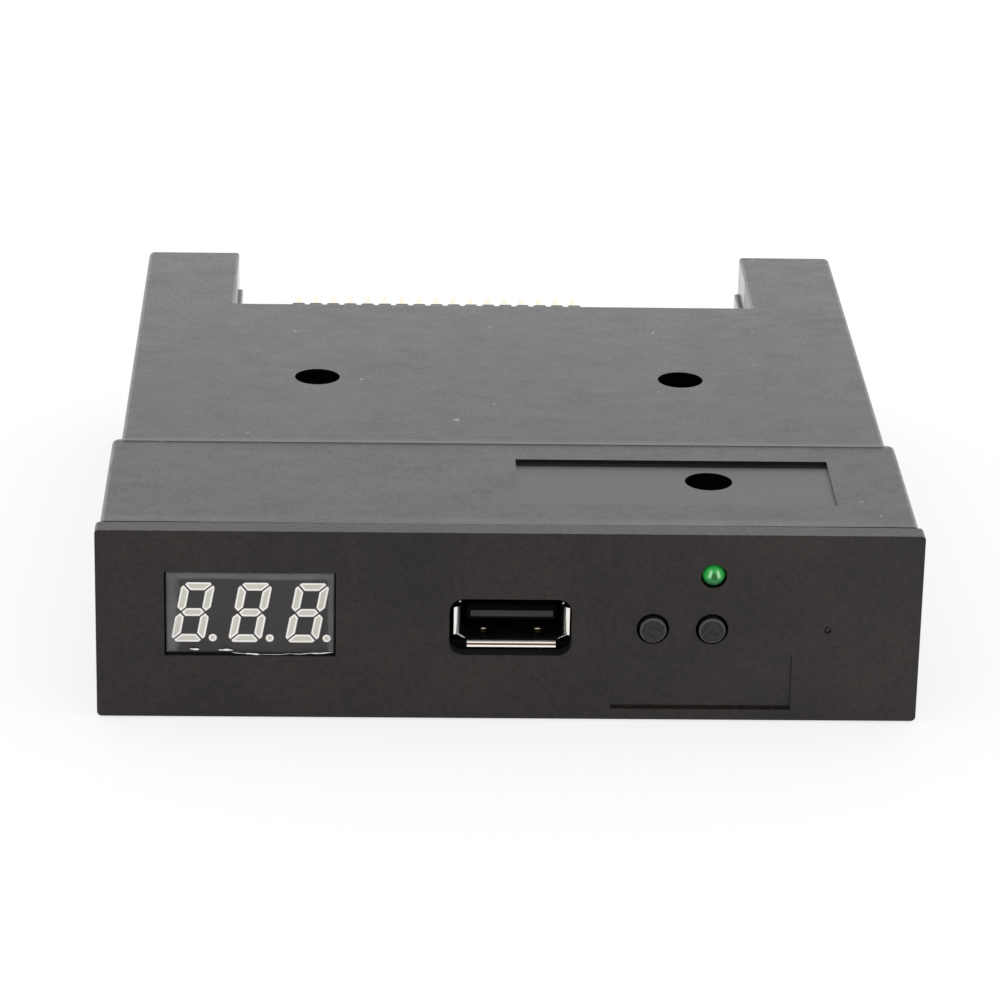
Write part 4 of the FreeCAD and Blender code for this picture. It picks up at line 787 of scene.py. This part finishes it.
def add_segments():
    rim = moulded("display_bar_rim", (0.97, 0.94, 0.9), 0.3, grain=0.05, mottle=0.02)
    moat = moulded("display_moat", (0.006, 0.0045, 0.0045), 0.5, grain=0.1)
    materials = [rim, finishes["display_bar"], moat]
    add_piece("display_segment_faces", segment_faces, materials, ["display_segments"])


FILM_COLUMNS = 96
FILM_ROWS = 48
FILM_FRONT = -59.8 * MM
FILM_WRINKLE = 0.025 * MM
FILM_SHEET = 0.03 * MM
CURL_TOP = 9.3 * MM
CURL_HEIGHT = 0.9 * MM
CURL_LEFT = 0.05 * MM
CURL_GROWTH = 0.15 * MM
CURL_STEP = (-35 * MM, 2 * MM)

# The film's lower edge as (x, z) points in millimetres
FOOT = (
    (-42.08, 8.62), (-39.0, 8.66), (-36.2, 8.68), (-34.2, 8.62), (-32.4, 8.42), (-29.5, 8.36), (-26.4, 8.5),
    (-23.9, 8.58), (-21.6, 8.7),
)


def follow(points, x):
    """The height of a run of points at x."""
    for (x0, z0), (x1, z1) in zip(points, points[1:]):
        if x <= x1:
            return z0 + (z1 - z0) * (x - x0) / (x1 - x0)
    return points[-1][1]


def film_lift(x, z):
    """How far the film's front stands off its flat place. It curls out towards its lower edge."""
    wave = math.sin(x * 900 + z * 300) + math.sin(z * 1500 - x * 500) * 0.7 + math.sin(x * 2600 + 1) * 0.3
    curl = max(0.0, CURL_TOP - z) / CURL_HEIGHT
    start, width = CURL_STEP
    reach = CURL_LEFT + CURL_GROWTH * min(1.0, max(0.0, (x - start) / width))
    return wave / 2 * FILM_WRINKLE - reach * curl * curl


def film_sheet(shape):
    """The film as a thin closed sheet, faintly wrinkled, down to its wavy lower edge."""
    low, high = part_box("display_film")
    front, back = [], []
    for i in range(FILM_COLUMNS + 1):
        x = low[0] + (high[0] - low[0]) * i / FILM_COLUMNS
        bottom = follow(FOOT, x / MM) * MM
        column = [bottom + (high[2] - bottom) * j / FILM_ROWS for j in range(FILM_ROWS + 1)]
        front.append([shape.verts.new((x, FILM_FRONT + film_lift(x, z) + FILM_WRINKLE, z)) for z in column])
        back.append([shape.verts.new(v.co + Vector((0, FILM_SHEET, 0))) for v in front[-1]])
    for i in range(FILM_COLUMNS):
        for j in range(FILM_ROWS):
            for grid, turn in ((front, 1), (back, -1)):
                corners = [grid[i][j], grid[i + 1][j], grid[i + 1][j + 1], grid[i][j + 1]]
                shape.faces.new(corners[::turn])
    border = [(i, 0) for i in range(FILM_COLUMNS)] + [(FILM_COLUMNS, j) for j in range(FILM_ROWS)]
    border += [(i, FILM_ROWS) for i in range(FILM_COLUMNS, 0, -1)] + [(0, j) for j in range(FILM_ROWS, 0, -1)]
    for (i, j), (k, m) in zip(border, border[1:] + border[:1]):
        shape.faces.new((front[k][m], front[i][j], back[i][j], back[k][m]))
    smoothed(shape)


# Each fold of the film's lower edge: its ends' x, its height above the edge, its y and its radius, all
# in millimetres
FOLDS = (
    (-39.25, -38.15, 0.34, -60.0, 0.15),
    (-35.75, -34.0, 0.28, -60.0, 0.14),
    (-32.4, -30.65, 0.04, -60.1, 0.13),
    (-26.5, -24.6, -0.02, -60.1, 0.05),
    (-24.8, -21.75, 0.0, -60.1, 0.085),
    (-34.1, -32.3, 0.04, -60.08, 0.04),
    (-30.75, -26.4, 0.0, -60.08, 0.035),
)


def film_folds(shape):
    """Curled bits of the film's lower edge, which show as painted glints."""
    steps, sides = 24, 8
    for x0, x1, above, y, radius in FOLDS:
        rings = []
        for i in range(steps + 1):
            x = (x0 + (x1 - x0) * i / steps) * MM
            r = radius * MM * math.sqrt(math.sin(math.pi * (0.04 + 0.92 * i / steps)))
            r *= 0.8 + 0.2 * math.sin(x * 5200)
            z = follow(FOOT, x / MM) * MM + (above + 0.03 * math.sin(x * 2500)) * MM
            ring = []
            for k in range(sides):
                turn = 2 * math.pi * k / sides
                ring.append(shape.verts.new((x, y * MM - r * math.cos(turn), z + r * math.sin(turn))))
            rings.append(ring)
        skin(shape, rings)
    bmesh.ops.recalc_face_normals(shape, faces=shape.faces)
    smoothed(shape)


def add_film():
    add_piece("display_film_sheet", film_sheet, [finishes["clear_film"]], ["display_film"])
    # Painted glints: the film's curled bits are near-white
    fold_glint = moulded("film_fold", (0.95, 0.95, 0.94), 0.25, grain=0.1, mottle=0.04)
    add_piece("display_film_folds", film_folds, [fold_glint])


# The raised points of the socket's floor springs, each as its middle and its radii in millimetres
SPRING_BEADS = (((-3.09, -55.7, 10.3), (0.44, 0.3, 0.17)), ((3.69, -55.7, 10.32), (0.5, 0.3, 0.17)))


def add_bead(shape, centre, radii):
    """A closed ellipsoid for a bead of metal."""
    made = bmesh.ops.create_icosphere(shape, subdivisions=3, radius=1.0)
    scale = Matrix.Diagonal((*[r * MM for r in radii], 1))
    place = Matrix.Translation(Vector(centre) * MM)
    bmesh.ops.transform(shape, matrix=place @ scale, verts=made["verts"])


def spring_beads(shape):
    """The raised contact points of the socket's floor springs."""
    for centre, radii in SPRING_BEADS:
        add_bead(shape, centre, radii)
    smoothed(shape)


def add_spring_beads():
    brass = metal("spring_bead", (0.98, 0.88, 0.66), 0.3)
    add_piece("usb_spring_beads", spring_beads, [brass])


# A solder joint's (depth, radius) points in millimetres, downwards from the board
SOLDER_PROFILE = ((0.0, 0.88), (0.12, 0.8), (0.3, 0.6), (0.52, 0.46), (0.8, 0.38), (0.86, 0.3))
SOLDERED = ("header_pins", "jumper_pins", "power_pins")
LEG_REACH = 0.9 * MM


def leg_places(name):
    """The middles of a part's legs, from the corners of their lower ends."""
    node = nodes[name]
    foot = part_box(name)[0][2] + 0.05 * MM
    corners = [node.matrix_world @ v.co for v in node.data.vertices]
    corners = sorted((round(c.x, 5), round(c.y, 5)) for c in corners if c.z < foot)
    groups = []
    for x, y in corners:
        near = [g for g in groups if abs(g[0][0] - x) < LEG_REACH and abs(g[0][1] - y) < LEG_REACH]
        if near:
            near[0].append((x, y))
        else:
            groups.append([(x, y)])
    middles = []
    for group in groups:
        across = [x for x, _ in group]
        along = [y for _, y in group]
        middles.append(((min(across) + max(across)) / 2, (min(along) + max(along)) / 2))
    return middles


def solder_joints(shape):
    """A cone of solder round each leg where it comes through the main board."""
    sides = 16
    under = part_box("main_board")[0][2] + 0.02 * MM
    for name in SOLDERED:
        for x, y in leg_places(name):
            rings = []
            for depth, radius in SOLDER_PROFILE:
                ring = []
                for k in range(sides):
                    turn = 2 * math.pi * k / sides
                    spot = (x + radius * MM * math.cos(turn), y + radius * MM * math.sin(turn))
                    ring.append(shape.verts.new((*spot, under - depth * MM)))
                rings.append(ring)
            skin(shape, rings)
    bmesh.ops.recalc_face_normals(shape, faces=shape.faces)
    for face in shape.faces:
        face.smooth = len(face.verts) == 4


def add_solder():
    solder = metal("solder", (0.72, 0.72, 0.71), 0.26)
    add_piece("board_solder_joints", solder_joints, [solder])


# The rolled corners of the socket's shell, in millimetres: three points that draw each bend, and the middles
# of the two upper tacks; bends and tacks show as painted glints
SHELL_BENDS = (
    ((-6.5, -58.1, 10.62), (-6.05, -58.0, 10.3), (-5.42, -58.0, 9.93)),
    ((7.2, -58.1, 10.5), (6.8, -58.0, 10.28), (6.1, -58.0, 9.9)),
)
SHELL_TACKS = ((-6.09, -58.3, 14.95), (6.69, -58.3, 14.8))
TACK_RADII = (0.16, 0.1, 0.13)
BEND_METALLIC = 0.3


def shell_bends(shape):
    """Bends between the socket's rolled lips, and a tack at each upper corner, which show as painted glints.
    """
    steps, sides, radius = 12, 8, 0.085
    for start, middle, end in SHELL_BENDS:
        rings = []
        for i in range(steps + 1):
            t = i / steps
            a, b, c = (1 - t) ** 2, 2 * t * (1 - t), t * t
            spot = [a * p + b * q + c * r for p, q, r in zip(start, middle, end)]
            r = radius * (0.45 + 0.55 * math.sin(math.pi * (0.08 + 0.84 * t)))
            ring = []
            for k in range(sides):
                turn = 2 * math.pi * k / sides
                offset = (0.5 * r * math.cos(turn), -r * math.sin(turn), 0.87 * r * math.cos(turn))
                ring.append(shape.verts.new([(p + d) * MM for p, d in zip(spot, offset)]))
            rings.append(ring)
        skin(shape, rings)
    for place in SHELL_TACKS:
        add_bead(shape, place, TACK_RADII)
    bmesh.ops.recalc_face_normals(shape, faces=shape.faces)
    smoothed(shape)


def add_shell_bends():
    # Painted glints: a near-white finish that is mostly diffuse
    bright = metal("socket_bend_glint", (0.98, 0.96, 0.93), 0.35)
    bright.node_tree.nodes["Principled BSDF"].inputs["Metallic"].default_value = BEND_METALLIC
    add_piece("usb_shell_bends", shell_bends, [bright])


def add_floor():
    mesh = bpy.data.meshes.new("floor")
    half = FLOOR_SIZE / 2
    corners = [(-half, -half, 0), (half, -half, 0), (half, half, 0), (-half, half, 0)]
    mesh.from_pydata(corners, [], [(0, 1, 2, 3)])
    floor = bpy.data.objects.new("floor", mesh)
    floor.location.z = -FLOOR_GAP
    bpy.context.scene.collection.objects.link(floor)
    mesh.materials.append(floor_paper())


def seen_ray(tree):
    """1 for the rays that show the paper: from the camera, off gloss and through clear things."""
    path = tree.nodes.new("ShaderNodeLightPath")
    direct = calc(tree, "ADD", path.outputs["Is Camera Ray"], path.outputs["Is Glossy Ray"])
    return calc(tree, "ADD", direct, path.outputs["Is Transmission Ray"], clamp=True)


def floor_paper():
    """White paper that keeps the object's shadow: part glow and part diffuse where it is seen."""
    material = bpy.data.materials.new("floor_paper")
    material.use_nodes = True
    tree = material.node_tree
    tree.nodes.remove(tree.nodes["Principled BSDF"])
    glow = tree.nodes.new("ShaderNodeEmission")
    glow.inputs["Strength"].default_value = FLOOR_GLOW
    shade = tree.nodes.new("ShaderNodeBsdfDiffuse")
    shade.inputs["Color"].default_value = as_colour(FLOOR_SHADED)
    bounce = tree.nodes.new("ShaderNodeBsdfDiffuse")
    bounce.inputs["Color"].default_value = as_colour(FLOOR_BOUNCE)
    seen = tree.nodes.new("ShaderNodeAddShader")
    tree.links.new(glow.outputs[0], seen.inputs[0])
    tree.links.new(shade.outputs[0], seen.inputs[1])
    pick = tree.nodes.new("ShaderNodeMixShader")
    tree.links.new(seen_ray(tree), pick.inputs[0])
    tree.links.new(bounce.outputs[0], pick.inputs[1])
    tree.links.new(seen.outputs[0], pick.inputs[2])
    tree.links.new(pick.outputs[0], tree.nodes["Material Output"].inputs["Surface"])
    return material


def add_world():
    world = bpy.data.worlds.new("studio")
    bpy.context.scene.world = world
    world.use_nodes = True
    background = world.node_tree.nodes["Background"]
    background.inputs["Color"].default_value = (1, 1, 1, 1)
    background.inputs["Strength"].default_value = ROOM_LIGHT


def add_area(name, place, target, size, power):
    data = bpy.data.lights.new(name, "AREA")
    data.shape = "RECTANGLE"
    data.size, data.size_y = size
    data.energy = power
    lamp = bpy.data.objects.new(name, data)
    lamp.location = place
    lamp.rotation_euler = (Vector(target) - Vector(place)).to_track_quat("-Z", "Y").to_euler()
    bpy.context.scene.collection.objects.link(lamp)


dress_nodes()
add_segments()
add_film()
add_spring_beads()
add_shell_bends()
add_solder()
add_floor()
add_world()
add_area("back_box", BACK_BOX_PLACE, (0, 0, 0), BACK_BOX_SIZE, BACK_BOX_POWER)
add_camera()
bpy.context.scene.view_settings.view_transform = "Standard"
